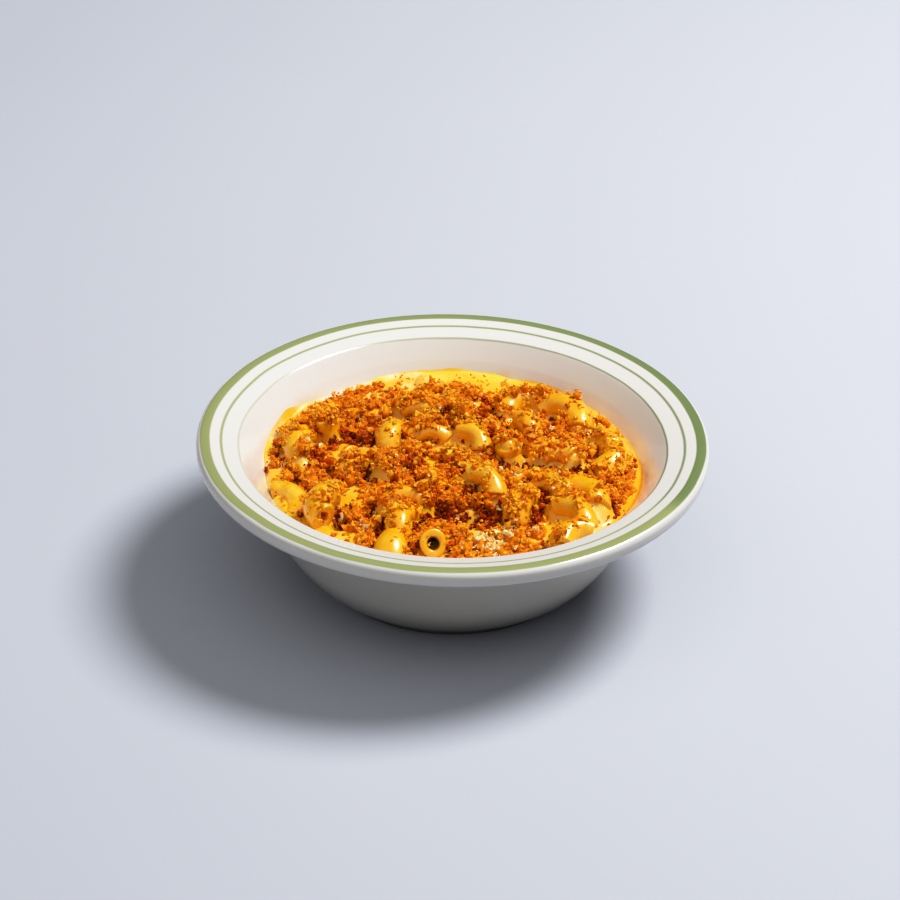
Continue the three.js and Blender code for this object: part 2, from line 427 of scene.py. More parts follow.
def glaze_material(bowl):
    """Cream-white glaze with hand-painted green bands on the rim, painted shade on the outside wall that
    deepens towards the foot, and a bare foot ring painted near-black as shade.
    """
    finish = Finish("bowl_glaze")
    x, y, z, radius = finish.place()
    angle = calc(finish.tree, "ARCTAN2", y, x)
    outside = finish.carried("outside")
    cloud = finish.noise(55.0)
    glaze = finish.mix(cloud * 0.35, tuple(bowl.glaze), CREAMIER_GLAZE)
    glaze = finish.mix(finish.noise(900.0, 1.0).span(0.76, 0.8) * 0.3, glaze, GLAZE_SPECK)
    glaze = finish.mix(sauce_marks(finish, radius, angle, z, outside), glaze, THIN_SAUCE)
    # Painted shade: the outside wall is darkened a little under the rim and much more towards the foot
    shade = finish.mix(outside.span(0.68, 0.98), PAINTED_WALL_SHADE, PAINTED_FOOT_SHADE)
    glaze = finish.mix(outside.span(0.02, 0.3), glaze, finish.mix(1.0, glaze, shade, "MULTIPLY"))
    bands, green = painted_bands(finish, bowl, radius, angle, z)
    # The foot ring's bottom is unglazed and rougher; its near-black colour is painted shade
    bare = 1.0 - z.span(0.3 * MM, 2.2 * MM)
    finish.relief(finish.noise(42.0, 2.0) + finish.noise(260.0, 2.0) * 0.12, 0.35 * MM, 0.35)
    return finish.surface(
        {
            "Base Color": finish.mix(bare, finish.mix(bands, glaze, green), SHADED_BARE_FOOT),
            "Roughness": 0.16 + cloud * 0.08 + bare * 0.5,
            "IOR": 1.5,
            "Coat Weight": 0.35,
            "Coat Roughness": 0.08,
        }
    )


def sauce_material(sauce):
    """Thick yellow sauce, nearly white in places with cream and painted highlight, with faint flecks, soft
    ripples and painted shade along its edge on the right.
    """
    finish = Finish("cheese_sauce")
    cloud = finish.noise(70.0, 3.0, 0.55, 0.4)
    base = finish.mix(cloud.span(0.42, 0.66), tuple(sauce.colour), tuple(sauce.pale))
    creamy = cloud.span(0.32, 0.72, 0.0, 0.85)
    # Creamy sauce and painted highlight, spot by spot
    for spot_x, spot_y, reach in CREAM_AND_HIGHLIGHT_SPOTS:
        ends = {0: finish.where, 1: (spot_x * MM, spot_y * MM, SAUCE_LEVEL)}
        away = put(finish.tree, "ShaderNodeVectorMath", ends, operation="DISTANCE").outputs["Value"]
        near = 1.0 - Value(finish.tree, away).span(reach * 0.4 * MM, reach * MM)
        base = finish.mix(near * creamy, base, CREAM_AND_HIGHLIGHT)
    x, _, _, radius = finish.place()
    # Painted shade: a darker orange band where the sauce meets the wall on the right
    thin = radius.span(55.5 * MM, 59.5 * MM) * x.span(18 * MM, 34 * MM)
    base = finish.mix(thin * 0.5, base, SHADED_SAUCE_RIM)
    base = finish.mix(finish.noise(1500.0, 2.0).span(0.66, 0.74) * 0.35, base, SAUCE_FLECK)
    finish.relief(finish.noise(260.0) + finish.noise(1400.0, 2.0) * 0.15, 0.5 * MM, 0.45)
    return finish.surface({"Base Color": base, "Roughness": cloud.span(0.2, 0.8, 0.2, 0.34), **WET_SKIN})


def pasta_material(pasta, sauce):
    """Cooked pasta under a coat of sauce, with painted shade inside the tube, running from dark brown to a
    lit deeper orange.
    """
    finish = Finish("coated_pasta")
    tone = finish.carried("tone")
    cloud = finish.noise(240.0, 3.0, 0.55, 0.3)
    creamy = cloud.span(0.4, 0.75) * (0.25 + tone * 0.7)
    coat = finish.mix(creamy, tuple(pasta.colour), tuple(sauce.pale))
    # Painted shade inside the tube: dark brown, turning to a lit deeper orange with the elbow's tone
    hollow = finish.mix(tone.span(0.3, 0.7), PAINTED_TUBE_SHADE, PAINTED_TUBE_LIGHT)
    base = finish.mix(finish.carried("inside"), coat, hollow)
    finish.relief(finish.noise(420.0) + finish.noise(1800.0, 2.0) * 0.2, 0.35 * MM, 0.4)
    return finish.surface({"Base Color": base, "Roughness": cloud.span(0.2, 0.8, 0.16, 0.30), **WET_SKIN})


def crumb_material(name, light, dark, tips):
    """Toasted crumb: each grain has its own tone, a painted highlight on its points, and darker pores."""
    finish = Finish(name)
    grain = finish.noise(1300.0, 3.0, 0.65)
    share = finish.carried("tone") * 0.8 + grain * 0.4
    base = finish.mix(share.span(0.1, 1.1), light, dark)
    # Painted highlight on the points that stand out
    lit = finish.carried("tip").span(0.45, 1.0) * grain.span(0.35, 0.65)
    base = finish.mix(lit * 0.7, base, tips)
    finish.relief(finish.noise(2600.0, 3.0, 0.7) + grain * 0.6, 0.25 * MM, 0.7)
    return finish.surface({"Base Color": base, **DRY_CRUMB})


def floor_material(stage):
    """Plain pale paper. Dark flags stand round the table, so less light comes back up from it."""
    finish = Finish("plain_floor")
    pale = tuple(stage.floor)
    deeper = (*(0.97 * c for c in pale[:3]), 1.0)
    dimmed = (*(stage.bounce * c for c in pale[:3]), 1.0)
    paper = finish.mix(finish.noise(6.0, 2.0), pale, deeper)
    spilled = put(finish.tree, "ShaderNodeLightPath").outputs["Is Diffuse Ray"]
    finish.relief(finish.noise(900.0), 0.1 * MM, 0.15)
    base = finish.mix(spilled, paper, dimmed)
    return finish.surface({"Base Color": base, "Roughness": 0.75, "Specular IOR Level": 0.2})


# =============================== geometry trees ==============================================
def geometry_tree(name, inputs):
    """An empty geometry tree with named inputs, given as (name, socket kind, default)."""
    tree = bpy.data.node_groups.new(name, "GeometryNodeTree")
    tree.interface.new_socket("Geometry", in_out="INPUT", socket_type="NodeSocketGeometry")
    tree.interface.new_socket("Geometry", in_out="OUTPUT", socket_type="NodeSocketGeometry")
    for title, kind, default in inputs:
        socket = tree.interface.new_socket(title, in_out="INPUT", socket_type=kind)
        socket.default_value = default
    return tree, put(tree, "NodeGroupInput")


SAME_POINT = 0.004 * MM  # points of the turned bowl that lie closer than this are one


def turning_tree(material):
    """Turns a section, given as a line of edges, round the Z axis."""
    tree, given = geometry_tree(
        "turn_on_the_wheel", (("Steps", "NodeSocketInt", 64), ("Reach", "NodeSocketFloat", 0.05))
    )
    section = put(tree, "GeometryNodeMeshToCurve", {"Mesh": given.outputs["Geometry"]})
    round_ = {"Resolution": given.outputs["Steps"], "Radius": given.outputs["Reach"]}
    path = put(tree, "GeometryNodeCurvePrimitiveCircle", round_)
    lines = {"Curve": path.outputs[0], "Profile Curve": section.outputs[0]}
    swept = put(tree, "GeometryNodeCurveToMesh", lines)
    near = {"Geometry": swept.outputs[0], "Distance": SAME_POINT}
    closed = put(tree, "GeometryNodeMergeByDistance", near)
    real = put(tree, "GeometryNodeRealizeInstances", {"Geometry": closed.outputs[0]})
    smooth = put(tree, "GeometryNodeSetShadeSmooth", {"Geometry": real.outputs[0]})
    done = put(tree, "GeometryNodeSetMaterial", {"Geometry": smooth.outputs[0], "Material": material})
    put(tree, "NodeGroupOutput", {"Geometry": done.outputs[0]})
    return tree


def scatter_tree(name, shapes, material, seed):
    """
    Puts one of the shapes on every point. A point's own numbers say which shape, how large and what
    tone; "Size" makes all of them larger. Each is turned as its "turn" says, or any way at all where
    "Loose" is 1.
    """
    sizes = (("Size", "NodeSocketFloat", 1.0), ("Loose", "NodeSocketFloat", 1.0))
    tree, given = geometry_tree(name, (*sizes, ("Seed", "NodeSocketInt", seed)))
    points = put(tree, "GeometryNodeMeshToPoints", {"Mesh": given.outputs["Geometry"]})
    apart = {"Collection": shapes, "Separate Children": True, "Reset Children": True}
    library = put(tree, "GeometryNodeCollectionInfo", apart)

    def own(title, kind):
        node = put(tree, "GeometryNodeInputNamedAttribute", {"Name": title}, data_type=kind)
        return node.outputs["Attribute"]

    loose = put(tree, "FunctionNodeRandomValue", {"Seed": given.outputs["Seed"]}, data_type="FLOAT_VECTOR")
    loose.inputs[0].default_value = (-math.pi,) * 3
    loose.inputs[1].default_value = (math.pi,) * 3
    angles = put(tree, "ShaderNodeMix", {0: given.outputs["Loose"]}, data_type="VECTOR")
    feed(tree, angles.inputs[4], own("turn", "FLOAT_VECTOR"))
    feed(tree, angles.inputs[5], loose.outputs[0])
    rotation = put(tree, "FunctionNodeEulerToRotation", {0: angles.outputs[1]})
    places = {
        "Points": points.outputs[0],
        "Instance": library.outputs[0],
        "Pick Instance": True,
        "Instance Index": own("kind", "INT"),
        "Rotation": rotation.outputs[0],
        "Scale": calc(tree, "MULTIPLY", own("size", "FLOAT"), given.outputs["Size"]),
    }
    placed = put(tree, "GeometryNodeInstanceOnPoints", places)
    real = put(tree, "GeometryNodeRealizeInstances", {"Geometry": placed.outputs[0]})
    done = put(tree, "GeometryNodeSetMaterial", {"Geometry": real.outputs[0], "Material": material})
    put(tree, "NodeGroupOutput", {"Geometry": done.outputs[0]})
    return tree


def carry(mesh, title, values, kind="FLOAT"):
    """Lets each point of a mesh carry a number, or a vector."""
    field = "vector" if kind == "FLOAT_VECTOR" else "value"
    mesh.attributes.new(title, kind, "POINT").data.foreach_set(field, values)


def smooth_solid(mesh):
    """Turns a closed mesh the right way out and shades it smoothly."""
    work = bmesh.new()
    work.from_mesh(mesh)
    if work.calc_volume(signed=True) < 0:
        bmesh.ops.reverse_faces(work, faces=work.faces)
    work.to_mesh(mesh)
    work.free()
    mesh.polygons.foreach_set("use_smooth", [True] * len(mesh.polygons))


def plain_object(name, content):
    """A new object in the scene that holds a mesh, a light or a camera."""
    made = bpy.data.objects.new(name, content)
    bpy.context.scene.collection.objects.link(made)
    return made


def grown(name, start, tree, **values):
    """Runs a geometry tree on a mesh and keeps what comes out as a plain mesh."""
    holder = plain_object(name + "_start", start)
    modifier = holder.modifiers.new("made", "NODES")
    modifier.node_group = tree
    for item in tree.interface.items_tree:
        if item.in_out == "INPUT" and item.name in values:
            modifier[item.identifier] = values[item.name]
    shown = holder.evaluated_get(bpy.context.evaluated_depsgraph_get())
    mesh = bpy.data.meshes.new_from_object(shown)
    mesh.name = name
    holder.modifiers.remove(modifier)
    bpy.data.objects.remove(holder)
    return plain_object(name, mesh)


def finish_piece(piece, node):
    """Every finished piece rides on the one body, and stands for the CAD node that it replaces."""
    if not piece.data.polygons:
        raise RuntimeError(f"{piece.name} came out empty")
    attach(piece, BODY)
    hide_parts(node)


# =============================== the bowl's section ==========================================
def cubic(handles, steps):
    """Points of a cubic curve, given by its four handles."""
    p = np.array(handles, float)
    t = np.linspace(0.0, 1.0, steps + 1)[:, None]
    return (1 - t) ** 3 * p[0] + 3 * (1 - t) ** 2 * t * p[1] + 3 * (1 - t) * t**2 * p[2] + t**3 * p[3]


def rounded_corner(before, corner, after, radius, steps=7):
    """The corner of an outline, replaced by an arc that touches both of its sides."""
    before, corner, after = (np.array(p, float) for p in (before, corner, after))
    one = (before - corner) / np.linalg.norm(before - corner)
    two = (after - corner) / np.linalg.norm(after - corner)
    half = math.acos(max(-1.0, min(1.0, float(one @ two)))) / 2
    reach = radius / math.tan(half)
    middle = corner + (one + two) / np.linalg.norm(one + two) * radius / math.sin(half)
    start = corner + one * reach - middle
    end = corner + two * reach - middle
    sweep = math.pi - 2 * half
    points = []
    for i in range(steps + 1):
        share = i / steps
        mixed = math.sin((1 - share) * sweep) * start + math.sin(share * sweep) * end
        points.append(middle + mixed / math.sin(sweep))
    return points


def rim_top(radius):
    """The rim's top falls evenly from its crown towards the well."""
    crown_inside = RIM_RADIUS - LIP_ROUND - CROWN_WIDTH
    return BOWL_HEIGHT - RIM_SLOPE * max(0.0, crown_inside - radius)


def inside_wall(steps=60):
    """Inside wall, from the top of the well down to the flat floor."""
    top = (WELL_RADIUS - 1.2 * MM, rim_top(WELL_RADIUS) - 1.4 * MM)
    return cubic((top, (56 * MM, 35.5 * MM), (52 * MM, FLOOR_TOP), (FLOOR_RADIUS, FLOOR_TOP)), steps)


def outside_wall(steps=48):
    """Outside wall, from the neck over the foot ring up to the underside of the rim."""
    neck = (FOOT_RADIUS + 1.0 * MM, 3.4 * MM)
    under_rim = (72.8 * MM, BOWL_HEIGHT - LIP_DEPTH - 1.0 * MM)
    return cubic((neck, (53 * MM, 4.2 * MM), (60.5 * MM, 27.5 * MM), under_rim), steps)


def wall_radius(height):
    """Radius of the inside wall at a height."""
    curve = inside_wall(400)[::-1]
    return np.interp(height, curve[:, 1], curve[:, 0])


def wall_height(radius):
    """Height of the inside wall at a radius."""
    curve = inside_wall(400)[::-1]
    return np.interp(radius, curve[:, 0], curve[:, 1])


def bowl_section():
    """Outline of the bowl from the middle of its underside round to the middle of its inside."""
    foot_inside = FOOT_RADIUS - FOOT_WIDTH
    lip_low = BOWL_HEIGHT - LIP_DEPTH
    crown = (RIM_RADIUS - LIP_ROUND - CROWN_WIDTH, BOWL_HEIGHT)
    outer = outside_wall()
    inner = inside_wall()
    well_edge = (WELL_RADIUS, rim_top(WELL_RADIUS))
    corners = [
        ((foot_inside - 1.6 * MM, FLOOR_UNDER), 1.2 * MM),
        ((foot_inside, 0.0), FOOT_ROUND),
        ((FOOT_RADIUS, 0.0), FOOT_ROUND),
        ((FOOT_RADIUS + 0.4 * MM, NECK_HEIGHT), 0.5 * MM),
    ]
    outline = [(0.0, FLOOR_UNDER)]
    stops = [(0.0, FLOOR_UNDER)] + [c for c, _ in corners] + [tuple(outer[2])]
    for i, (corner, radius) in enumerate(corners):
        outline += rounded_corner(stops[i], corner, stops[i + 2], radius)
    outline += list(outer[2:-3])
    lip_foot = (RIM_RADIUS, lip_low)
    outline += rounded_corner(outer[-4], tuple(outer[-1] + (0.6 * MM, 0.2 * MM)), lip_foot, 1.6 * MM)
    outline += rounded_corner(tuple(outer[-1]), lip_foot, (RIM_RADIUS, BOWL_HEIGHT), LIP_ROUND, 10)
    outline += rounded_corner(lip_foot, (RIM_RADIUS, BOWL_HEIGHT), crown, LIP_ROUND, 10)
    outline += rounded_corner((RIM_RADIUS - LIP_ROUND, BOWL_HEIGHT), crown, well_edge, 9 * MM, 6)
    outline += rounded_corner(crown, well_edge, tuple(inner[6]), 2.6 * MM, 10)
    outline += list(inner[7:])
    outline.append((0.0, FLOOR_TOP))
    return [(float(r), float(z)) for r, z in outline]


def outside_share(section):
    """How far down its outside each point of the section lies: 0 inside and on the lip, 1 at the foot."""
    lowest_lip = BOWL_HEIGHT - LIP_DEPTH - 0.5 * MM
    turn = min(i for i, (r, z) in enumerate(section) if r > RIM_RADIUS - 12 * MM and z < lowest_lip)
    shares = []
    for i, (_, z) in enumerate(section):
        on_outside = i >= turn
        shares.append(0.3 + 0.7 * (1 - min(1.0, max(0.0, z / lowest_lip))) if on_outside else 0.0)
    return shares


def make_bowl(scene):
    """The bowl, turned in one piece from its section."""
    bowl = scene.mac_bowl
    section = bowl_section()
    reach = FOOT_RADIUS
    points = [(r - reach, -z, 0.0) for r, z in section[::-1]]
    start = bpy.data.meshes.new("bowl_section")
    start.from_pydata(points, [(i, i + 1) for i in range(len(points) - 1)], [])
    # How far down the outside each point lies sets the painted shade on the outside wall
    carry(start, "outside", outside_share(section[::-1]))
    piece = grown("glazed_bowl", start, turning_tree(glaze_material(bowl)), Steps=bowl.turns, Reach=reach)
    finish_piece(piece, "bowl")


# =============================== elbow macaroni ==============================================
ELBOW_ARCS = (100, 118, 134, 84)  # degrees that each kind of elbow turns through
LINE_STEPS = 8  # steps along an elbow's middle line
CROWDED = 6.5  # mm round a hollow within which no buried elbow shows
SUNK = 7.0 * MM  # how far such an elbow lies deeper

# Elbows that stand out of the crumbs. Each has one point set: its first or last open end, or the
# back of its bend: kind of point, x, y, z of it in mm, then heading, pitch and roll in degrees, size,
# kind of elbow, how free of crumbs it lies, and how creamy its coat is.
SHOWN_ELBOWS = (
    ("first", -5.4, -52.2, 41.2, 44, 16, -34, 1.04, 1, 1.0, 0.3),
    ("bend", -18.4, -49.8, 38.4, 80, 0, 84, 1.14, 1, 1.0, 0.4),
    ("first", -40.0, -38.5, 41.0, 80, 0, 12, 1.08, 0, 0.75, 0.7),
    ("bend", -49.4, -21.2, 35.8, -62, 8, 14, 1.0, 1, 1.0, 1.0),
    ("last", -41.5, 16.5, 44.4, 135, -34, -88, 1.0, 2, 0.6, 0.4),
    ("bend", -20.6, 12.0, 42.6, 78, 0, 78, 0.88, 0, 0.92, 0.8),
    ("bend", -8.5, 14.0, 41.8, 5, 0, 55, 0.9, 0, 0.55, 0.0),
    ("bend", -12.0, 31.0, 41.2, -10, 0, 40, 0.95, 3, 0.5, 0.6),
    ("bend", 25.6, 16.6, 42.6, -72, 20, 50, 0.86, 0, 0.86, 0.4),
    ("bend", 7.8, 10.7, 42.4, -50, 12, 40, 0.86, 0, 0.88, 1.0),
    ("bend", 44.0, -22.0, 42.0, -55, 0, 25, 1.08, 3, 0.93, 0.4),
    ("bend", 39.5, -31.0, 41.2, -52, 0, 35, 1.0, 0, 0.7, 0.5),
    ("bend", 34.5, -18.5, 41.4, -58, 0, 30, 1.0, 1, 0.7, 0.9),
    ("bend", 37.0, -42.5, 40.0, 40, 0, 20, 0.95, 0, 0.6, 0.6),
    ("bend", 53.6, 7.0, 38.8, -88, 0, 20, 1.15, 2, 0.85, 1.0),
    ("bend", 38.5, 33.5, 40.2, -42, 0, 35, 1.12, 1, 0.95, 0.6),
    ("bend", 11.7, -15.8, 42.6, -46, 12, 40, 0.9, 0, 0.92, 1.0),
    ("bend", -14.8, -26.5, 42.2, 5, 0, 50, 0.86, 0, 0.6, 0.2),
    ("bend", -16.2, -38.6, 41.9, 76, 0, 62, 0.88, 1, 0.5, 0.4),
    ("bend", 21.5, -28.0, 42.2, 70, 0, 75, 0.95, 1, 0.7, 0.3),
    ("bend", -51.0, 9.5, 40.2, 70, 0, 30, 1.0, 1, 0.3, 0.8),
    ("bend", 33.5, 4.0, 40.6, 0, 0, 10, 0.95, 3, 0.6, 0.6),
    ("bend", 24.0, 38.5, 40.2, 10, 0, 20, 1.0, 1, 0.2, 0.5),
)

# Gaps between the elbows that look dark: x, y in mm, radius and depth in mm
HOLLOWS = (
    (-31.2, 15.4, 4.6, 6.5), (22.4, 8.1, 4.2, 5.0), (-43.5, -20.1, 3.6, 4.0),
    (-3.3, -29.8, 3.4, 3.5), (-35.1, -36.4, 3.0, 3.5), (-23.0, -30.5, 3.0, 3.0),
    (3.5, -33.0, 3.6, 3.5), (8.5, -31.5, 3.2, 3.0), (18.5, -3.0, 3.4, 0.5),
)


# How a tube's end is rounded: share of the wall's thickness, and how far past the end in mm
TUBE_END = ((0.95, 0.32), (0.78, 0.46), (0.26, 0.42))


def middle_line(arc, bend, steps=LINE_STEPS):
    """Middle line of an elbow lying flat, its chord along X and the back of its bend towards +Y."""
    t = np.linspace(-arc / 2, arc / 2, steps + 1)
    rise = bend * (1 - math.cos(arc / 2))
    return np.stack([bend * np.sin(t), bend * (np.cos(t) - math.cos(arc / 2)) - rise / 2, 0 * t], axis=1)


def elbow_mesh(name, arc, bend, bore, hole, rng, around=20, along=12):
    """A bent tube, open right through, with rounded ends and an uneven coat."""
    walls = [(t, 1.0, 0.0) for t in np.linspace(-0.5, 0.5, along + 1)]
    walls += [(0.5, thick, past) for thick, past in TUBE_END]
    walls += [(t, 0.0, 0.0) for t in np.linspace(0.5, -0.5, along // 2 + 1)]
    walls += [(-0.5, thick, -past) for thick, past in reversed(TUBE_END)]
    rise = bend * (1 - math.cos(arc / 2))
    phases = rng.uniform(0, 2 * math.pi, 4)
    verts, inside = [], []
    for share, thick, past in walls:
        t = arc * share
        centre = np.array([bend * math.sin(t), bend * (math.cos(t) - math.cos(arc / 2)) - rise / 2, 0.0])
        ahead = np.array([math.cos(t), -math.sin(t), 0.0])
        out = np.array([math.sin(t), math.cos(t), 0.0])
        radius = hole + (bore - hole) * thick
        for i in range(around):
            a = 2 * math.pi * i / around
            uneven = 0.03 * math.sin(2 * a + phases[0] + 3 * t) + 0.025 * math.sin(3 * a + phases[1] - 4 * t)
            uneven += 0.03 * math.sin(5 * t + phases[2])
            off = radius * (1 + uneven * thick)
            point = centre + ahead * past * MM + out * off * 0.96 * math.cos(a)
            verts.append(point + np.array([0.0, 0.0, off * 1.04 * math.sin(a)]))
            inside.append(1.0 if thick == 0.0 else 0.0)
    rows = len(walls)
    faces = []
    for row in range(rows):
        nxt = (row + 1) % rows
        for i in range(around):
            j = (i + 1) % around
            faces.append((row * around + i, row * around + j, nxt * around + j, nxt * around + i))
    mesh = bpy.data.meshes.new(name)
    mesh.from_pydata([tuple(v) for v in verts], [], faces)
    carry(mesh, "inside", inside)
    smooth_solid(mesh)
    return mesh


HEAP_RISE = 5.0 * MM  # how far the heap rises above the sauce's level
HEAP_SWELL = 0.7 * MM
HEAP_FULLNESS = 2.6  # the higher, the flatter the heap's middle and the steeper its edge


def dome(x, y):
    """Height of the heap's smooth top, without the elbows' own relief."""
    edge = np.clip(np.hypot(x, y) / HEAP_RADIUS, 0, 1)
    swell = HEAP_SWELL * np.sin(x / (13 * MM) + 0.8) * np.cos(y / (11 * MM) - 0.4)
    return SAUCE_LEVEL + (HEAP_RISE + swell) * (1 - edge**HEAP_FULLNESS)


def elbow_turn(heading, pitch, roll):
    """How an elbow is turned: rolled about its chord, pitched, then headed."""
    return Euler((math.radians(roll), math.radians(pitch), math.radians(heading)), "XYZ")


class Elbow:
    """One elbow: where it lies, how bare of crumbs and how creamy it is, and whether its end shows."""

    def __init__(self, place, turn, size, kind, bareness, cream, end_shows=False):
        self.place = place
        self.turn = turn
        self.size = size
        self.kind = kind
        self.bareness = bareness
        self.cream = cream
        self.end_shows = end_shows

    def line(self, bend):
        """World points of its middle line."""
        flat = middle_line(math.radians(ELBOW_ARCS[self.kind]), bend) * self.size
        return flat @ np.array(self.turn.to_matrix()).T + np.array(self.place)


def lay_out_elbows(pasta):
    """Every elbow of the heap: first those that show, then the others."""
    rng = np.random.default_rng(ELBOW_SEED)
    laid = []
    for point, x, y, z, heading, pitch, roll, size, kind, bareness, cream in SHOWN_ELBOWS:
        turn = elbow_turn(heading, pitch, roll)
        line = middle_line(math.radians(ELBOW_ARCS[kind]), pasta.bend) * size
        held = line[{"first": 0, "bend": len(line) // 2, "last": -1}[point]]
        place = Vector((x * MM, y * MM, z * MM)) - turn.to_matrix() @ Vector(held)
        laid.append(Elbow(place, turn, size, kind, bareness, cream, point != "bend"))
    golden = math.pi * (3 - math.sqrt(5))
    for k in range(pasta.number):
        out = (HEAP_RADIUS - pasta.bore - 2 * MM) * math.sqrt((k + 0.5) / pasta.number)
        angle = k * golden + rng.normal(0, 0.12)
        x, y = out * math.cos(angle), out * math.sin(angle)
        roll = rng.choice([0, 0, 0, 75, -75]) + rng.normal(0, 18)
        turn = elbow_turn(rng.uniform(0, 360), rng.normal(0, 12), roll)
        z = float(dome(x, y)) - pasta.bore - rng.uniform(0.2, 3.2) * MM
        if any(math.hypot(x - hx * MM, y - hy * MM) < (size + CROWDED) * MM for hx, hy, size, _ in HOLLOWS):
            z -= SUNK
        size, kind = rng.uniform(0.92, 1.08), int(rng.integers(0, 4))
        laid.append(Elbow(Vector((x, y, z)), turn, size, kind, 0.0, rng.random()))
    settle_elbows(laid, pasta)
    return laid


SETTLING_ROUNDS = 26
PRESSED = 0.94  # share of a tube's width at which two of them press on each other


def settle_elbows(laid, pasta):
    """Pushes apart elbows that run into each other; those that show stay where they are."""
    lines = np.array([elbow.line(pasta.bend) for elbow in laid])
    elbows, dots = lines.shape[:2]
    free = np.array([elbow.bareness == 0.0 for elbow in laid])
    owner = np.repeat(np.arange(elbows), dots)
    moved = np.zeros((elbows, 3))
    for _ in range(SETTLING_ROUNDS):
        spots = (lines + moved[:, None]).reshape(-1, 3)
        apart = spots[:, None] - spots[None]
        gap = np.linalg.norm(apart, axis=2)
        short = np.clip(2 * pasta.bore * PRESSED - gap, 0, None)
        short[owner[:, None] == owner[None]] = 0
        push = (apart / np.maximum(gap, 1e-6)[..., None] * short[..., None]).sum(1)
        hits = np.maximum((short > 0).sum(1), 1)
        step = np.zeros((elbows, 3))
        np.add.at(step, owner, push / hits[:, None] * 0.3)
        step[~free] = 0
        moved += step / 3
        centre = lines.mean(1) + moved
        ceiling = dome(centre[:, 0], centre[:, 1]) - pasta.bore + 0.3 * MM
        over = np.clip(centre[:, 2] - ceiling, 0, None)
        moved[free, 2] -= over[free]
        reach = np.hypot(centre[:, 0], centre[:, 1])
        limit = HEAP_RADIUS - pasta.bore - 1 * MM
        pull = np.clip(reach - limit, 0, None) / np.maximum(reach, 1e-6)
        moved[free, :2] -= (centre[:, :2] * pull[:, None])[free]
    for elbow, shift in zip(laid, moved):
        elbow.place = elbow.place + Vector(shift)


def point_mesh(name, places, **numbers):
    """Loose points, each with its own numbers, for a scatter tree."""
    mesh = bpy.data.meshes.new(name)
    mesh.from_pydata([tuple(p) for p in places], [], [])
    for title, values in numbers.items():
        values = np.asarray(values)
        if values.ndim == 2:
            carry(mesh, title, values.ravel(), "FLOAT_VECTOR")
        else:
            carry(mesh, title, values, "INT" if values.dtype.kind == "i" else "FLOAT")
    return mesh


def shape_library(name, meshes):
    """Shapes to scatter, kept apart from the scene, in the order of their names."""
    library = bpy.data.collections.new(name)
    for mesh in meshes:
        library.objects.link(bpy.data.objects.new(mesh.name, mesh))
    return library


def clear_library(library):
    """Drops the shapes once they have been scattered."""
    for item in list(library.objects):
        bpy.data.objects.remove(item)
    bpy.data.collections.remove(library)


def make_elbows(scene):
    """All the elbows of the heap, as one piece."""
    pasta = scene.mac_pasta
    rng = np.random.default_rng(SHAPE_SEED)
    laid = lay_out_elbows(pasta)
    shapes = [
        elbow_mesh(f"elbow_{i}", math.radians(arc), pasta.bend, pasta.bore, pasta.hole, rng)
        for i, arc in enumerate(ELBOW_ARCS)
    ]
    library = shape_library("elbow_shapes", shapes)
    start = point_mesh(
        "elbow_places",
        [elbow.place for elbow in laid],
        turn=[tuple(elbow.turn) for elbow in laid],
        size=np.array([elbow.size for elbow in laid], float),
        kind=np.array([elbow.kind for elbow in laid], int),
        tone=np.array([elbow.cream for elbow in laid]),
    )
    tree = scatter_tree("lay_elbows", library, pasta_material(pasta, scene.mac_sauce), 1)
    piece = grown("elbow_macaroni", start, tree, Loose=0.0)
    clear_library(library)
    finish_piece(piece, "macaroni")


# =============================== relief of the food ==========================================
class Relief:
    """Heights on a square grid over the bowl's well."""

    def __init__(self, half=63 * MM, cell=0.4 * MM):
        self.half = half
        self.cell = cell
        self.side = int(2 * half / cell) + 1
        axis = np.linspace(-half, half, self.side)
        self.x, self.y = np.meshgrid(axis, axis, indexing="ij")

    def window(self, x, y, radius):
        """The stretch of the grid within a radius of a point."""
        i0 = max(0, int((x - radius + self.half) / self.cell))
        i1 = min(self.side, int((x + radius + self.half) / self.cell) + 2)
        j0 = max(0, int((y - radius + self.half) / self.cell))
        j1 = min(self.side, int((y + radius + self.half) / self.cell) + 2)
        return slice(i0, i1), slice(j0, j1)

    def sample(self, heights, x, y):
        """Height at any place, between the grid's own."""
        i = np.clip((np.asarray(x) + self.half) / self.cell, 0, self.side - 1.001)
        j = np.clip((np.asarray(y) + self.half) / self.cell, 0, self.side - 1.001)
        a, b = i.astype(int), j.astype(int)
        u, v = i - a, j - b
        low = heights[a, b] * (1 - u) + heights[a + 1, b] * u
        high = heights[a, b + 1] * (1 - u) + heights[a + 1, b + 1] * u
        return low * (1 - v) + high * v


def spot(x, y, spot_x, spot_y, radius, sharpness=2):
    """A round spot, its place and radius in mm: 1 in its middle, fading out about its radius."""
    off = np.hypot(x - spot_x * MM, y - spot_y * MM) / (radius * MM)
    return np.exp(-(off**sharpness))


def softened(heights, cells):
    """The same heights, blurred over a number of cells."""
    reach = int(3 * cells)
    kernel = np.exp(-0.5 * (np.arange(-reach, reach + 1) / cells) ** 2)
    kernel /= kernel.sum()
    padded = np.pad(heights, reach, mode="edge")
    padded = np.apply_along_axis(np.convolve, 0, padded, kernel, "valid")
    return np.apply_along_axis(np.convolve, 1, padded, kernel, "valid")


def bumpy(relief, wave, seed):
    """Smooth random swells between -1 and 1, about a wave across."""
    rng = np.random.default_rng(seed)
    cells = wave / relief.cell / 2.2
    rough = softened(rng.normal(size=(relief.side, relief.side)), cells)
    return np.clip(rough / (2.2 * rough.std()), -1, 1)


FINE_STEPS = 32  # steps along an elbow where its top is traced
END_STEPS = 5  # of these, how many lie at an open end


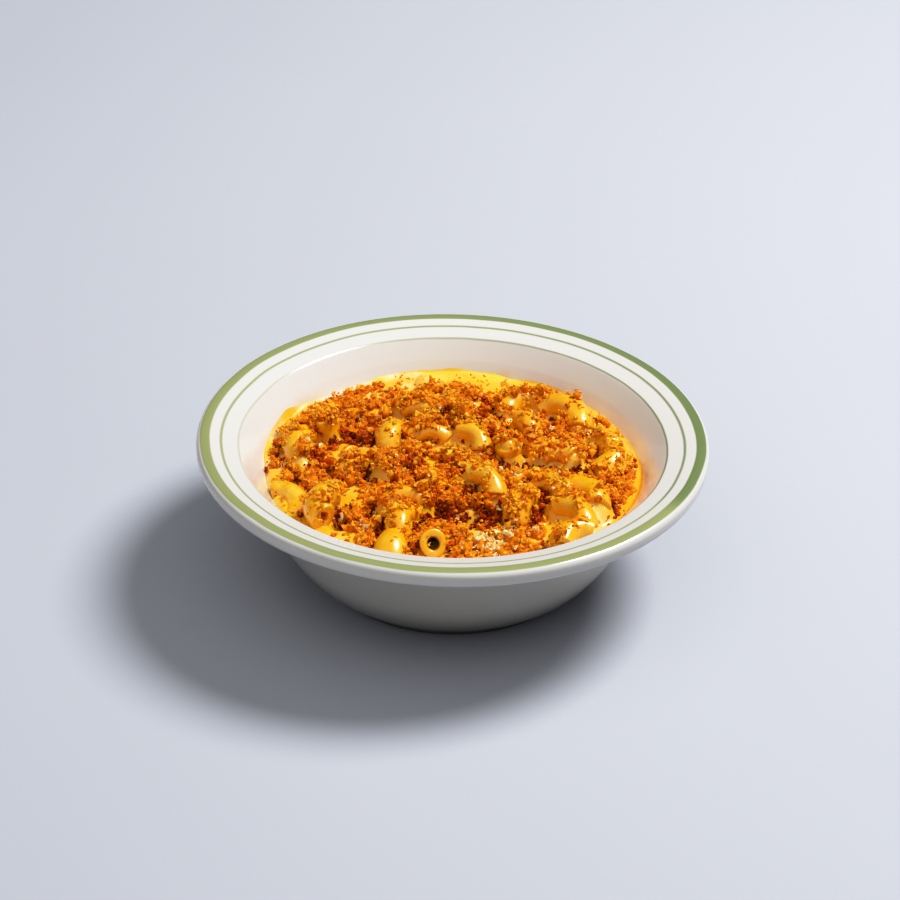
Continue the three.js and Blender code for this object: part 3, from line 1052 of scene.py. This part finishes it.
def elbow_tops(relief, laid, pasta):
    """
    Height of the elbows' upper side, how bare of crumbs the topmost one lies, and the height to
    which sauce clings to them: right over them, but lower on those whose open end shows.
    """
    tops = np.full(relief.x.shape, -1.0)
    bare = np.zeros(relief.x.shape)
    clings = np.full(relief.x.shape, -1.0)
    dots = np.arange(LINE_STEPS + 1)
    steps = np.linspace(0, LINE_STEPS, FINE_STEPS + 1)
    for elbow in laid:
        bore = pasta.bore * elbow.size
        fine = [np.interp(steps, dots, axis) for axis in elbow.line(pasta.bend).T]
        for step, (x, y, z) in enumerate(zip(*fine)):
            at = relief.window(x, y, bore)
            off = (relief.x[at] - x) ** 2 + (relief.y[at] - y) ** 2
            swell = np.sqrt(np.clip(bore**2 - off, 0, None))
            if elbow.end_shows and not END_STEPS <= step <= FINE_STEPS - END_STEPS:
                swell = np.minimum(swell, 0.35 * bore)
            cap = np.where(off < bore**2, z + swell, -1.0)
            bare[at] = np.where(cap > tops[at], elbow.bareness, bare[at])
            tops[at] = np.maximum(tops[at], cap)
            clings[at] = np.maximum(clings[at], cap - (1.5 * bore if elbow.end_shows else 0.0))
    return tops, bare, clings


# Height of the sauce's edge on the wall, in mm, at angles in degrees from +X towards +Y
SAUCE_EDGE = (
    (-180, 37.2), (-172, 36.2), (-120, 38.0), (-90, 38.4), (-35, 38.4), (-18, 39.6),
    (-2, 39.0), (6, 37.8), (23, 36.8), (41, 37.3), (58, 39.1), (73, 37.6),
    (77, 38.9), (82, 38.6), (92, 39.4), (114, 38.8), (121, 37.2), (129, 36.5),
    (137, 37.2), (145, 39.3), (152, 40.4), (160, 40.2), (180, 37.2),
)


def edge_height(angle):
    """Height to which the sauce reaches up the wall, all round."""
    at, heights = zip(*SAUCE_EDGE)
    ripple = 0.16 * np.sin(17 * angle + 1.0) + 0.12 * np.sin(29 * angle)
    return (np.interp(np.degrees(angle), at, heights) + ripple) * MM


def food_relief(scene):
    """The sauce's surface, the elbows' tops and where the elbows that show lie bare."""
    pasta, sauce = scene.mac_pasta, scene.mac_sauce
    relief = Relief()
    laid = lay_out_elbows(pasta)
    tops, bare, clings = elbow_tops(relief, laid, pasta)
    radius = np.hypot(relief.x, relief.y)
    swell = bumpy(relief, 11 * MM, LEVEL_SEED)
    level = sauce.pool + 0.5 * MM * swell
    # Under the heap the sauce rises with it, somewhat below the tops of the elbows.
    inner = 1 - np.clip((radius - 38 * MM) / (16 * MM), 0, 1)
    level = np.maximum(level, dome(relief.x, relief.y) - 4.4 * MM + 1.2 * MM * swell * inner)
    for *place, depth in HOLLOWS:
        level = level - depth * MM * spot(relief.x, relief.y, *place, 3)
    # It clings to the elbows and softens the corners between them.
    envelope = np.maximum(clings, level)
    climbing = softened(envelope, 1.3 * MM / relief.cell) - sauce.coat
    surface = np.maximum(level, climbing)
    ripples = 0.12 * MM * bumpy(relief, 3.2 * MM, RIPPLE_SEED)
    surface = softened(surface, 0.7 * MM / relief.cell) + ripples
    # Near the wall it falls to its edge, and a film of it stays on the wall.
    edge = edge_height(np.arctan2(relief.y, relief.x))
    from_wall = np.clip(wall_radius(edge) - radius, 0, None)
    surface = np.minimum(surface, edge + 0.1 * MM + 0.75 * from_wall)
    film = 0.5 * MM * np.sqrt(np.clip(from_wall / (5 * MM), 0, 1))
    meniscus = wall_height(radius) + film - 0.12 * MM
    surface = np.maximum(surface, np.where(radius > 52 * MM, meniscus, -1.0))
    return relief, surface, tops, np.where(tops > surface - 0.2 * MM, bare, 0.0)


AROUND = 360  # steps round the sauce
UNDER = FLOOR_TOP + 6 * MM  # height of the sauce's plain underside


def make_sauce(scene):
    """The sauce: its uneven surface on rings out to the wall, closed by a plain underside."""
    sauce = scene.mac_sauce
    relief, surface, _, _ = food_relief(scene)
    angles = np.linspace(0, 2 * math.pi, AROUND, endpoint=False)
    wrapped = np.arctan2(np.sin(angles), np.cos(angles))
    edge_z = edge_height(wrapped)
    edge_r = wall_radius(edge_z) + 0.15 * MM
    places = [(0.0, 0.0, float(relief.sample(surface, 0.0, 0.0)))]
    for ring in range(1, sauce.rings + 1):
        out = edge_r * (ring / sauce.rings)
        x, y = out * np.cos(angles), out * np.sin(angles)
        z = relief.sample(surface, x, y) if ring < sauce.rings else edge_z - 0.1 * MM
        places += list(zip(x, y, z))
    for height in (SAUCE_LEVEL - 4 * MM, SAUCE_LEVEL - 12 * MM, UNDER):
        out = float(wall_radius(height)) + 0.1 * MM
        places += [(out * math.cos(a), out * math.sin(a), height) for a in angles]
    places.append((0.0, 0.0, UNDER))
    pairs = [(i, (i + 1) % AROUND) for i in range(AROUND)]
    faces = [(0, 1 + i, 1 + j) for i, j in pairs]
    last = len(places) - 1 - AROUND
    for a in range(1, last, AROUND):
        b = a + AROUND
        faces += [(a + i, b + i, b + j, a + j) for i, j in pairs]
    faces += [(last + i, len(places) - 1, last + j) for i, j in pairs]
    mesh = bpy.data.meshes.new("cheese_sauce_surface")
    mesh.from_pydata([tuple(map(float, p)) for p in places], [], faces)
    smooth_solid(mesh)
    mesh.materials.append(sauce_material(sauce))
    finish_piece(plain_object("pooled_sauce", mesh), "cheese_sauce")


# =============================== crumbs ======================================================
def crumb_mesh(name, lobes, rng, flat=0.85):
    """A grain: one or more knobs of twenty faces each, run together. Its mean reach is one half."""
    work = bmesh.new()
    tips = []
    for _ in range(lobes):
        made = bmesh.ops.create_icosphere(work, subdivisions=1, radius=1.0)["verts"]
        shift = Vector(rng.normal(0, 0.62, 3)) if lobes > 1 else Vector((0, 0, 0))
        stretch = Vector(rng.uniform(0.3, 1.3, 3)) * (0.85 if lobes > 1 else 1.0)
        stretch.z *= flat
        for vert in made:
            jag = rng.uniform(0.3, 1.7)
            tips.append(jag - 0.5)
            vert.co = Vector(a * b for a, b in zip(vert.co * jag, stretch)) + shift
    mesh = bpy.data.meshes.new(name)
    work.to_mesh(mesh)
    work.free()
    mean = sum(v.co.length for v in mesh.vertices) / len(mesh.vertices)
    mesh.transform(Matrix.Scale(0.5 / mean, 4))
    carry(mesh, "tip", tips)
    return mesh


# Places kept free of crumbs, where sauce shows: x, y, radius in mm, share of crumbs kept out
OPEN_SAUCE = (
    (-26, 56, 8.0, 0.9), (-14, 56, 10.5, 0.97), (0, 58, 11.5, 0.97), (14, 56, 10.0, 0.95),
    (26, 53, 8.0, 0.95), (39, 45, 6.5, 0.95), (49, 35, 5.5, 0.95), (55, 22, 5.0, 0.9),
    (58, 8, 6.0, 0.95), (-6.8, -55.8, 3.2, 0.98), (48, -37, 7.5, 0.95), (-50, -28, 8.0, 0.97),
    (-57, -18, 6.0, 0.97),
)
# Places where crumbs lie on what is bare round it: x, y, radius in mm, share of crumbs that stay
CRUMB_SPOTS = (
    (2.5, -46.5, 4.5, 1.0), (-1.5, -43.0, 4.0, 1.0), (-15.7, -38.1, 1.8, 1.0), (-41.8, 16.5, 2.0, 1.0),
    (-25.8, 11.6, 2.0, 0.8), (-36.0, -26.0, 3.5, 0.6), (-46.0, -33.0, 2.5, 0.8), (-33.0, -30.0, 4.5, 0.9),
    (22.0, -4.0, 5.0, 0.9), (31.0, -5.0, 5.0, 0.9), (28.0, -1.5, 4.0, 1.0), (37.0, -3.0, 4.0, 1.0),
    (34.0, 6.0, 6.0, 1.0), (27.0, 9.0, 4.0, 0.9), (-23.0, -5.0, 3.5, 0.9), (49.0, -14.0, 3.5, 0.9),
    (36.0, -27.0, 3.0, 0.8), (32.8, -47.3, 3.0, 0.8), (52.0, -20.0, 3.0, 0.8), (-58.3, -2.7, 3.5, 1.0),
    (-57.5, 4.0, 3.5, 1.0), (-55.0, 12.0, 3.5, 1.0), (-51.0, 22.0, 3.5, 0.9),
)
# Where crumbs stayed pale or cheese was grated on, and a few lit ridges where pale crumbs are painted
# highlight: x, y, radius in mm, share that is pale
PALE_AND_HIGHLIGHT_SPOTS = (
    (11.5, -48.0, 7.0, 0.9), (19.0, -44.5, 5.5, 0.85), (-26.5, -39.6, 2.6, 0.95), (-28.0, 3.2, 3.0, 0.5),
    (-1.1, 20.0, 3.0, 0.4), (35.0, -19.4, 3.5, 0.4), (31.0, 22.0, 4.0, 0.3), (-10.0, -18.0, 5.0, 0.15),
    (12.4, -55.3, 5.0, 0.6),
)
# Where crumbs are darker (above 0) or lighter (below 0) than elsewhere, partly toasting and partly painted
# shade in the dark gaps between the elbows: x, y, radius in mm, by how much
TOAST_AND_SHADE_SPOTS = (
    (-31.2, 14.0, 6.5, 1.1), (22.0, 9.0, 6.5, 1.0), (-43.5, -20.0, 5.0, 0.8), (4.0, -33.0, 7.0, 1.4),
    (12.0, -33.0, 5.5, 0.8), (-3.3, -29.8, 4.5, 1.0), (-26.0, 31.0, 8.0, 0.45), (-33.0, 28.0, 5.5, 0.5),
    (-14.0, -23.0, 6.0, 0.65), (-43.0, -6.0, 5.0, 0.6), (14.0, 31.0, 6.0, 0.45), (28.0, 14.0, 5.0, 0.4),
    (-32.0, -42.0, 4.0, 0.4), (-19.0, -5.0, 5.5, 0.35), (18.0, -9.0, 6.0, -0.4), (27.0, -25.0, 6.5, -0.4),
    (-35.1, -36.4, 4.0, 0.8), (-22.5, -29.2, 4.0, 0.6), (-58.0, -3.0, 5.0, 0.5), (33.0, -47.0, 4.0, 0.5),
    (52.0, -20.0, 4.0, 0.5), (38.0, 6.0, 9.0, -0.15), (-30.0, -14.0, 10.0, -0.25), (6.0, -14.0, 10.0, -0.25),
    (-8.0, 2.0, 9.0, -0.2), (30.0, -10.0, 8.0, -0.2), (14.0, -46.0, 9.0, -0.7),
)


def spot_sum(x, y, spots):
    """Sum of soft round spots, each x, y, radius in mm and strength."""
    total = np.zeros(np.shape(x))
    for *place, strength in spots:
        total = total + strength * spot(x, y, *place)
    return total


def clumpy(relief, seeds):
    """Broad swells with smaller ones on them."""
    broad, small = seeds
    return bumpy(relief, 7 * MM, broad) + 0.5 * bumpy(relief, 3.5 * MM, small)


def crumb_cover(relief, bare):
    """Share of crumbs that stay where they fall, over the well."""
    radius = np.hypot(relief.x, relief.y)
    cover = np.clip(0.1 + 3.0 * (clumpy(relief, PATCH_SEEDS) + 0.5), 0.05, 1.0)
    cover *= 1 - np.clip((radius - 57.5 * MM) / (2.5 * MM), 0, 1)
    cover *= 1 - 0.97 * softened(bare, 0.7 * MM / relief.cell)
    for *place, share in OPEN_SAUCE:
        cover *= 1 - share * spot(relief.x, relief.y, *place, 4)
    for *place, share in CRUMB_SPOTS:
        cover = np.maximum(cover, share * spot(relief.x, relief.y, *place, 4))
    return np.clip(cover, 0.0, 1.0)


# What each fallen crumb says about itself, after its x, y and z
SIZE, FINE, TOAST_AND_DEPTH_SHADE = 3, 4, 5

CLUMPS = 1100
CLUMPED_SHARE = 0.65  # share of the crumbs that falls in clumps
CLUMP_SPREAD = 1.7 * MM
CLUMP_REACH = 59 * MM
FALL_REACH = 60 * MM
FOOD_EDGE = 60.5 * MM
PILE_SOFTNESS = 0.35 * MM
BED_DEPTH = 1.6 * MM
TOO_STEEP = 1.4  # slope on which no bed of crumbs holds
LARGEST_CRUMB = 3.3  # mm
CELLS_SEEN = 2  # a crumb is kept if at least so many cells of the grid show it
# The next depth sets the painted shade of crumbs that lie low
SHADED_DEPTH = 0.8 * MM  # depth below the tops of the clumps at which crumbs look clearly darker


def drop_crumbs(crumbs, relief, ground, bare):
    """
    Lets crumbs fall one after another onto the food, so that they pile up in clumps.
    Gives the crumbs that show, the heights that they reach and each place's toasting with its painted depth
    shade.
    """
    rng = np.random.default_rng(CRUMB_SEED)
    cover = crumb_cover(relief, bare)
    # Toasting, and painted shade in the dark gaps from the listed spots
    toast_and_shade = 0.3 * bumpy(relief, 11 * MM, TOAST_SEEDS[0]) + 0.3 * bumpy(relief, 4.5 * MM, TOAST_SEEDS[1])
    toast_and_shade += spot_sum(relief.x, relief.y, TOAST_AND_SHADE_SPOTS)
    heights = ground.copy()
    core = ground.copy()
    lumps = (1.1 + 2.2 * np.clip(clumpy(relief, LUMP_SEEDS), -0.5, 1.0)) * MM
    steep = np.hypot(*np.gradient(softened(ground, 1.0), relief.cell)) > TOO_STEEP
    topmost = np.full(heights.shape, -1)
    tone = np.zeros(heights.shape)
    clumps = rng.uniform(-CLUMP_REACH, CLUMP_REACH, (CLUMPS, 2))
    fallen = []
    for fine, number in enumerate((crumbs.number, crumbs.fine_number)):
        for _ in range(number):
            if rng.random() < CLUMPED_SHARE:
                x, y = clumps[rng.integers(CLUMPS)] + rng.normal(0, CLUMP_SPREAD, 2)
            else:
                x, y = rng.uniform(-FALL_REACH, FALL_REACH, 2)
            chance, grade = rng.random(), rng.normal(0, 0.16)
            size = MM * (rng.uniform(0.5, 1.0) if fine else min(LARGEST_CRUMB, rng.lognormal(0.54, 0.30)))
            i = int((x + relief.half) / relief.cell + 0.5)
            j = int((y + relief.half) / relief.cell + 0.5)
            if math.hypot(x, y) > FOOD_EDGE:
                continue
            # It stays where crumbs may lie, less and less often above the clump's full height.
            piled = heights[i, j] - ground[i, j]
            keep = cover[i, j] if not fine else 0.2 + 0.8 * cover[i, j]
            if chance > keep * math.exp(-max(0.0, piled - lumps[i, j]) / PILE_SOFTNESS):
                continue
            # It sinks a little into what lies below, and is flatter than a ball.
            z = heights[i, j] + size * 0.12
            reach = size * 0.46
            at = relief.window(x, y, reach)
            off = (relief.x[at] - x) ** 2 + (relief.y[at] - y) ** 2
            dome_cap = np.sqrt(np.clip(reach**2 - off, 0, None))
            cap = np.where(off < reach**2, z + dome_cap * 0.85, -1.0)
            higher = cap > heights[at]
            topmost[at] = np.where(higher, len(fallen), topmost[at])
            shade = toast_and_shade[i, j] + grade
            tone[at] = np.where(higher, shade, tone[at])
            # The lower crumbs grow together into the bed.
            rests = higher & (cap - ground[at] < size * 0.9 + BED_DEPTH)
            core[at] = np.where(rests, np.maximum(core[at], z + dome_cap * 0.5 - 0.1 * size), core[at])
            heights[at] = np.maximum(heights[at], cap)
            fallen.append((x, y, z, size, fine, shade))
    core[steep] = ground[steep]
    seen = np.bincount(topmost[topmost >= 0], minlength=len(fallen)) >= CELLS_SEEN
    fallen = np.array(fallen)[seen]
    # Painted shade: crumbs below the tops of the clumps are darker; painted light: those on top are lighter.
    sunk = softened(heights, 2.0 * MM / relief.cell)
    x, y, z = fallen[:, :SIZE].T
    fallen[:, TOAST_AND_DEPTH_SHADE] += painted_depth_shade(relief.sample(sunk, x, y) - z - 0.3 * fallen[:, SIZE])
    tone += painted_depth_shade(sunk - heights)
    return fallen, core, tone, rng


def painted_depth_shade(depth):
    """Painted shade: how much darker crumbs are coloured for lying a depth below the tops of the clumps, and
    lighter above them.
    """
    share = depth / SHADED_DEPTH
    return np.clip(np.where(share > 0, 0.3 * share + 0.5 * share**2, 0.5 * share), -0.5, 1.4)


# Kinds of crumb, in the order in which make_crumbs lists their looks
GOLDEN, AMBER, BROWN, PALE, CRUSHED = range(5)
# Toasting with painted depth shade above which a crumb is amber, and brown
AMBER_FROM = 0.14
BROWN_FROM = 0.56
STRAY_PALE = 0.012  # share of pale crumbs anywhere


def sort_crumbs(fallen, rng):
    """Which kind each crumb is: by its toasting with painted depth shade, and pale where it stayed pale, and
    on a few lit ridges as painted highlight.
    """
    shade = fallen[:, TOAST_AND_DEPTH_SHADE]
    kinds = np.where(shade > BROWN_FROM, BROWN, np.where(shade > AMBER_FROM, AMBER, GOLDEN))
    pale = np.full(len(fallen), STRAY_PALE)
    for *place, share in PALE_AND_HIGHLIGHT_SPOTS:
        pale = np.maximum(pale, share * spot(fallen[:, 0], fallen[:, 1], *place, 3))
    kinds[fallen[:, FINE] > 0.5] = CRUSHED
    kinds[rng.random(len(fallen)) < pale] = PALE
    return kinds


THINNEST_BED = 0.12 * MM
BED_BELOW = 0.9 * MM  # how far the bed's underside lies in the food


def crumb_bed_mesh(relief, ground, core, tone):
    """The lower crumbs, grown together: a knobbly sheet that is closed below, wherever crumbs lie."""
    piled = core - ground > THINNEST_BED
    covered = piled[:-1, :-1] & piled[1:, :-1] & piled[:-1, 1:] & piled[1:, 1:]
    index = np.arange(piled.size).reshape(piled.shape)
    a, b, c, d = index[:-1, :-1], index[1:, :-1], index[1:, 1:], index[:-1, 1:]
    below = piled.size
    faces = np.stack([a[covered], b[covered], c[covered], d[covered]], axis=1)
    under = faces[:, ::-1] + below
    padded = np.pad(covered, 1)
    walls = []
    for along, across, first, second in ((1, 0, a, b), (-1, 0, c, d), (0, 1, d, a), (0, -1, b, c)):
        neighbour = padded[1 - across : padded.shape[0] - 1 - across, 1 - along : padded.shape[1] - 1 - along]
        edge = covered & ~neighbour
        one, two = first[edge], second[edge]
        walls.append(np.stack([two, one, one + below, two + below], axis=1))
    faces = np.concatenate([faces, under] + walls)
    used, faces = np.unique(faces, return_inverse=True)
    faces = faces.reshape(-1, 4)
    x, y = np.concatenate([relief.x.ravel()] * 2), np.concatenate([relief.y.ravel()] * 2)
    z = np.concatenate([core.ravel(), (np.minimum(ground, core) - BED_BELOW).ravel()])
    mesh = bpy.data.meshes.new("crumb_bed")
    places = np.stack([x, y, z], axis=1)[used]
    mesh.from_pydata(places.tolist(), [], faces.tolist())
    tones = np.concatenate([tone.ravel()] * 2)[used]
    # The bed's tone carries the toasting and the painted shade of its depths
    carry(mesh, "tone", np.clip(0.5 + 0.5 * tones, 0, 1))
    carry(mesh, "tip", np.zeros(len(used)))
    smooth_solid(mesh)
    return mesh


# Painted highlight on the points of pale crumbs
CHEESE_TIP_HIGHLIGHT = (1.0, 0.95, 0.70, 1.0)
CRUMB_SHAPES = 9


def make_crumbs(scene):
    """The bed of lower crumbs, and on it loose crumbs of four tones and the fine ones between."""
    crumbs = scene.mac_crumbs
    relief, surface, tops, bare = food_relief(scene)
    ground = np.maximum(surface, tops)
    fallen, core, tone, rng = drop_crumbs(crumbs, relief, ground, bare)
    kinds = sort_crumbs(fallen, rng)
    names = ("golden", "amber", "brown", "pale", "burnt", "bright")
    golden, amber, brown, pale, burnt, bright = (tuple(getattr(crumbs, name)) for name in names)
    bed = crumb_bed_mesh(relief, ground, core, tone)
    bed.materials.append(crumb_material("crumb_bed", amber, burnt, bright))
    finish_piece(plain_object("crumb_bed", bed), "macaroni")
    # Each look: name, light and dark colour, painted highlight on the points, knobs per grain, and the range
    # of toasting with painted depth shade
    looks = (
        ("crumbs_golden", golden, amber, bright, 3, (-0.9, AMBER_FROM)),
        ("crumbs_amber", amber, brown, golden, 3, (AMBER_FROM, BROWN_FROM)),
        ("crumbs_brown", brown, burnt, amber, 3, (BROWN_FROM, BROWN_FROM + 0.8)),
        ("crumbs_pale", pale, golden, CHEESE_TIP_HIGHLIGHT, 2, (0.0, 3.0)),
        ("crumbs_fine", golden, brown, bright, 1, (-0.9, 1.2)),
    )
    for kind, (name, light, dark, tips, lobes, (least, most)) in enumerate(looks):
        shapes = [crumb_mesh(f"{name}_{i}", lobes, rng) for i in range(CRUMB_SHAPES)]
        library = shape_library(name + "_shapes", shapes)
        mine = fallen[kinds == kind]
        start = point_mesh(
            name + "_places",
            mine[:, :SIZE],
            turn=np.zeros((len(mine), 3)),
            size=mine[:, SIZE],
            kind=rng.integers(0, CRUMB_SHAPES, len(mine)),
            tone=np.clip((mine[:, TOAST_AND_DEPTH_SHADE] - least) / (most - least), 0, 1),
        )
        material = crumb_material(name, light, dark, tips)
        piece = grown(name, start, scatter_tree("scatter_" + name, library, material, kind + 1))
        clear_library(library)
        finish_piece(piece, "macaroni")


# =============================== stage =======================================================
def look_at(item, target, roll=0.0):
    """Turns a light or a camera towards a point."""
    facing = (target - item.location).to_track_quat("-Z", "Y")
    item.rotation_euler = (facing.to_matrix() @ Matrix.Rotation(roll, 3, "Z")).to_euler()


LOBE_NARROWNESS = 2.7  # how much the broad light gathers about its middle
EVEN_GLOW = 0.02
MIRRORED_SHARE = 0.3  # share of the broad light that shows in wet and glazed surfaces


def broad_light(strength):
    """Soft light from all over the ceiling, most of it from above the camera's left shoulder."""
    world = bpy.data.worlds.new("studio")
    world.use_nodes = True
    tree = world.node_tree
    tree.nodes.clear()
    way = put(tree, "ShaderNodeTexCoord").outputs["Generated"]
    towards = Vector((-0.22, -0.40, 0.89)).normalized()
    facing = put(tree, "ShaderNodeVectorMath", {0: way, 1: towards}, operation="DOT_PRODUCT").outputs["Value"]
    lobe = calc(tree, "POWER", calc(tree, "MAXIMUM", facing, 0.0), LOBE_NARROWNESS)
    rays = put(tree, "ShaderNodeLightPath").outputs
    mirrored = Value(tree, rays["Is Glossy Ray"]).span(0.0, 1.0, 1.0, MIRRORED_SHARE)
    power = (lobe * strength + EVEN_GLOW) * mirrored
    glow = put(tree, "ShaderNodeBackground", {"Color": (1.0, 0.99, 0.98, 1.0), "Strength": power})
    backdrop = put(tree, "ShaderNodeBackground", {"Color": (0.40, 0.42, 0.47, 1.0), "Strength": 1.0})
    halves = {0: rays["Is Camera Ray"], 1: glow.outputs[0], 2: backdrop.outputs[0]}
    both = put(tree, "ShaderNodeMixShader", halves)
    put(tree, "ShaderNodeOutputWorld", {"Surface": both.outputs[0]})
    return world


# How the picture's brightness answers the light: a little more contrast, and whites that roll off
TONE_CURVE = (
    (0.0, 0.0), (0.05, 0.034), (0.15, 0.125), (0.3, 0.29),
    (0.5, 0.545), (0.7, 0.775), (0.85, 0.90), (1.0, 0.965),
)
TONE_WHITE = 1.3


def set_tone(view):
    """Plain sRGB picture with the tone curve above."""
    view.view_transform = "Standard"
    view.look = "None"
    view.use_curve_mapping = True
    mapping = view.curve_mapping
    mapping.white_level = (TONE_WHITE,) * 3
    points = mapping.curves[3].points
    points[0].location = TONE_CURVE[0]
    points[-1].location = (1.0, 1.0)
    for scene_light, picture in TONE_CURVE[1:]:
        points.new(scene_light / TONE_WHITE, picture)
    mapping.update()


FLOOR_HALF = 6.0
FLOOR_STEPS = 8
KEY_DISTANCE = 1.45
KEY_SPREAD = math.radians(11.5)  # half the angle that the key light fills
KEY_RISE = math.radians(57)
KEY_ROUND = math.radians(23)  # from +X towards +Y
KEY_AIM = Vector((0, 0, 0.03))
CAMERA_AIM = Vector((-0.87 * MM, 0.0, 43.5 * MM))


def add_floor(stage):
    """A broad plain floor just under the foot ring."""
    floor = bpy.data.meshes.new("floor")
    work = bmesh.new()
    bmesh.ops.create_grid(work, x_segments=FLOOR_STEPS, y_segments=FLOOR_STEPS, size=FLOOR_HALF)
    work.to_mesh(floor)
    work.free()
    floor.materials.append(floor_material(stage))
    floor.transform(Matrix.Translation((0, 0, CAD_BOX[0][2] - 0.05 * MM)))
    plain_object("stage_floor", floor)


def make_stage(scene):
    """Pale floor, one soft key light from the right and behind, an even fill and the camera."""
    stage = scene.mac_stage
    add_floor(stage)
    scene.world = broad_light(stage.fill)

    key = bpy.data.lights.new("key", "AREA")
    key.shape = "DISK"
    key.size = 2 * KEY_DISTANCE * math.tan(KEY_SPREAD)
    key.energy = stage.key_power
    key.color = (1.0, 0.985, 0.96)
    key_holder = plain_object("key", key)
    level = math.cos(KEY_RISE)
    direction = Vector((level * math.cos(KEY_ROUND), level * math.sin(KEY_ROUND), math.sin(KEY_RISE)))
    key_holder.location = KEY_AIM + direction * KEY_DISTANCE
    look_at(key_holder, KEY_AIM)

    camera = bpy.data.cameras.new("camera")
    camera.lens = 111.4
    camera.sensor_width = 36.0
    camera.clip_end = 50.0
    camera_holder = plain_object("camera", camera)
    away = Vector((0.0, -math.cos(stage.elevation), math.sin(stage.elevation)))
    camera_holder.location = CAMERA_AIM + away * stage.distance
    look_at(camera_holder, CAMERA_AIM, stage.roll)
    scene.camera = camera_holder
    set_tone(scene.view_settings)


# =============================== operators and panel =========================================
class MACBOWL_OT_bowl(bpy.types.Operator):
    """Turn the glazed bowl with its painted bands"""

    bl_idname = "macbowl.bowl"
    bl_label = "Bowl"

    def execute(self, context):
        make_bowl(context.scene)
        return {"FINISHED"}


class MACBOWL_OT_sauce(bpy.types.Operator):
    """Pour the cheese sauce round the elbows"""

    bl_idname = "macbowl.sauce"
    bl_label = "Cheese sauce"

    def execute(self, context):
        make_sauce(context.scene)
        return {"FINISHED"}


class MACBOWL_OT_elbows(bpy.types.Operator):
    """Lay the elbow macaroni"""

    bl_idname = "macbowl.elbows"
    bl_label = "Elbow macaroni"

    def execute(self, context):
        make_elbows(context.scene)
        return {"FINISHED"}


class MACBOWL_OT_crumbs(bpy.types.Operator):
    """Sprinkle the toasted crumbs"""

    bl_idname = "macbowl.crumbs"
    bl_label = "Toasted crumbs"

    def execute(self, context):
        make_crumbs(context.scene)
        return {"FINISHED"}


class MACBOWL_OT_stage(bpy.types.Operator):
    """Set the floor, the lights and the camera"""

    bl_idname = "macbowl.stage"
    bl_label = "Stage"

    def execute(self, context):
        make_stage(context.scene)
        return {"FINISHED"}


OPERATORS = (MACBOWL_OT_bowl, MACBOWL_OT_sauce, MACBOWL_OT_elbows, MACBOWL_OT_crumbs, MACBOWL_OT_stage)


class MACBOWL_PT_panel(bpy.types.Panel):
    """Lists what can be made, with its sizes and colours"""

    bl_idname = "MACBOWL_PT_panel"
    bl_label = "Mac and Cheese"
    bl_space_type = "VIEW_3D"
    bl_region_type = "UI"
    bl_category = "Mac and Cheese"

    def draw(self, context):
        layout = self.layout
        for operator in OPERATORS:
            layout.operator(operator.bl_idname)
        for name, group in SETTINGS.items():
            box = layout.box()
            box.label(text=group.__doc__)
            for item in group.__annotations__:
                box.prop(getattr(context.scene, name), item)


def register():
    for group in SETTINGS.values():
        bpy.utils.register_class(group)
    for operator in OPERATORS:
        bpy.utils.register_class(operator)
    bpy.utils.register_class(MACBOWL_PT_panel)
    for name, group in SETTINGS.items():
        setattr(bpy.types.Scene, name, PointerProperty(type=group))


def unregister():
    for name in SETTINGS:
        delattr(bpy.types.Scene, name)
    bpy.utils.unregister_class(MACBOWL_PT_panel)
    for operator in reversed(OPERATORS):
        bpy.utils.unregister_class(operator)
    for group in reversed(SETTINGS.values()):
        bpy.utils.unregister_class(group)


def main():
    register()
    bpy.ops.macbowl.bowl()
    bpy.ops.macbowl.sauce()
    bpy.ops.macbowl.elbows()
    bpy.ops.macbowl.crumbs()
    bpy.ops.macbowl.stage()


if __name__ == "__main__":
    main()
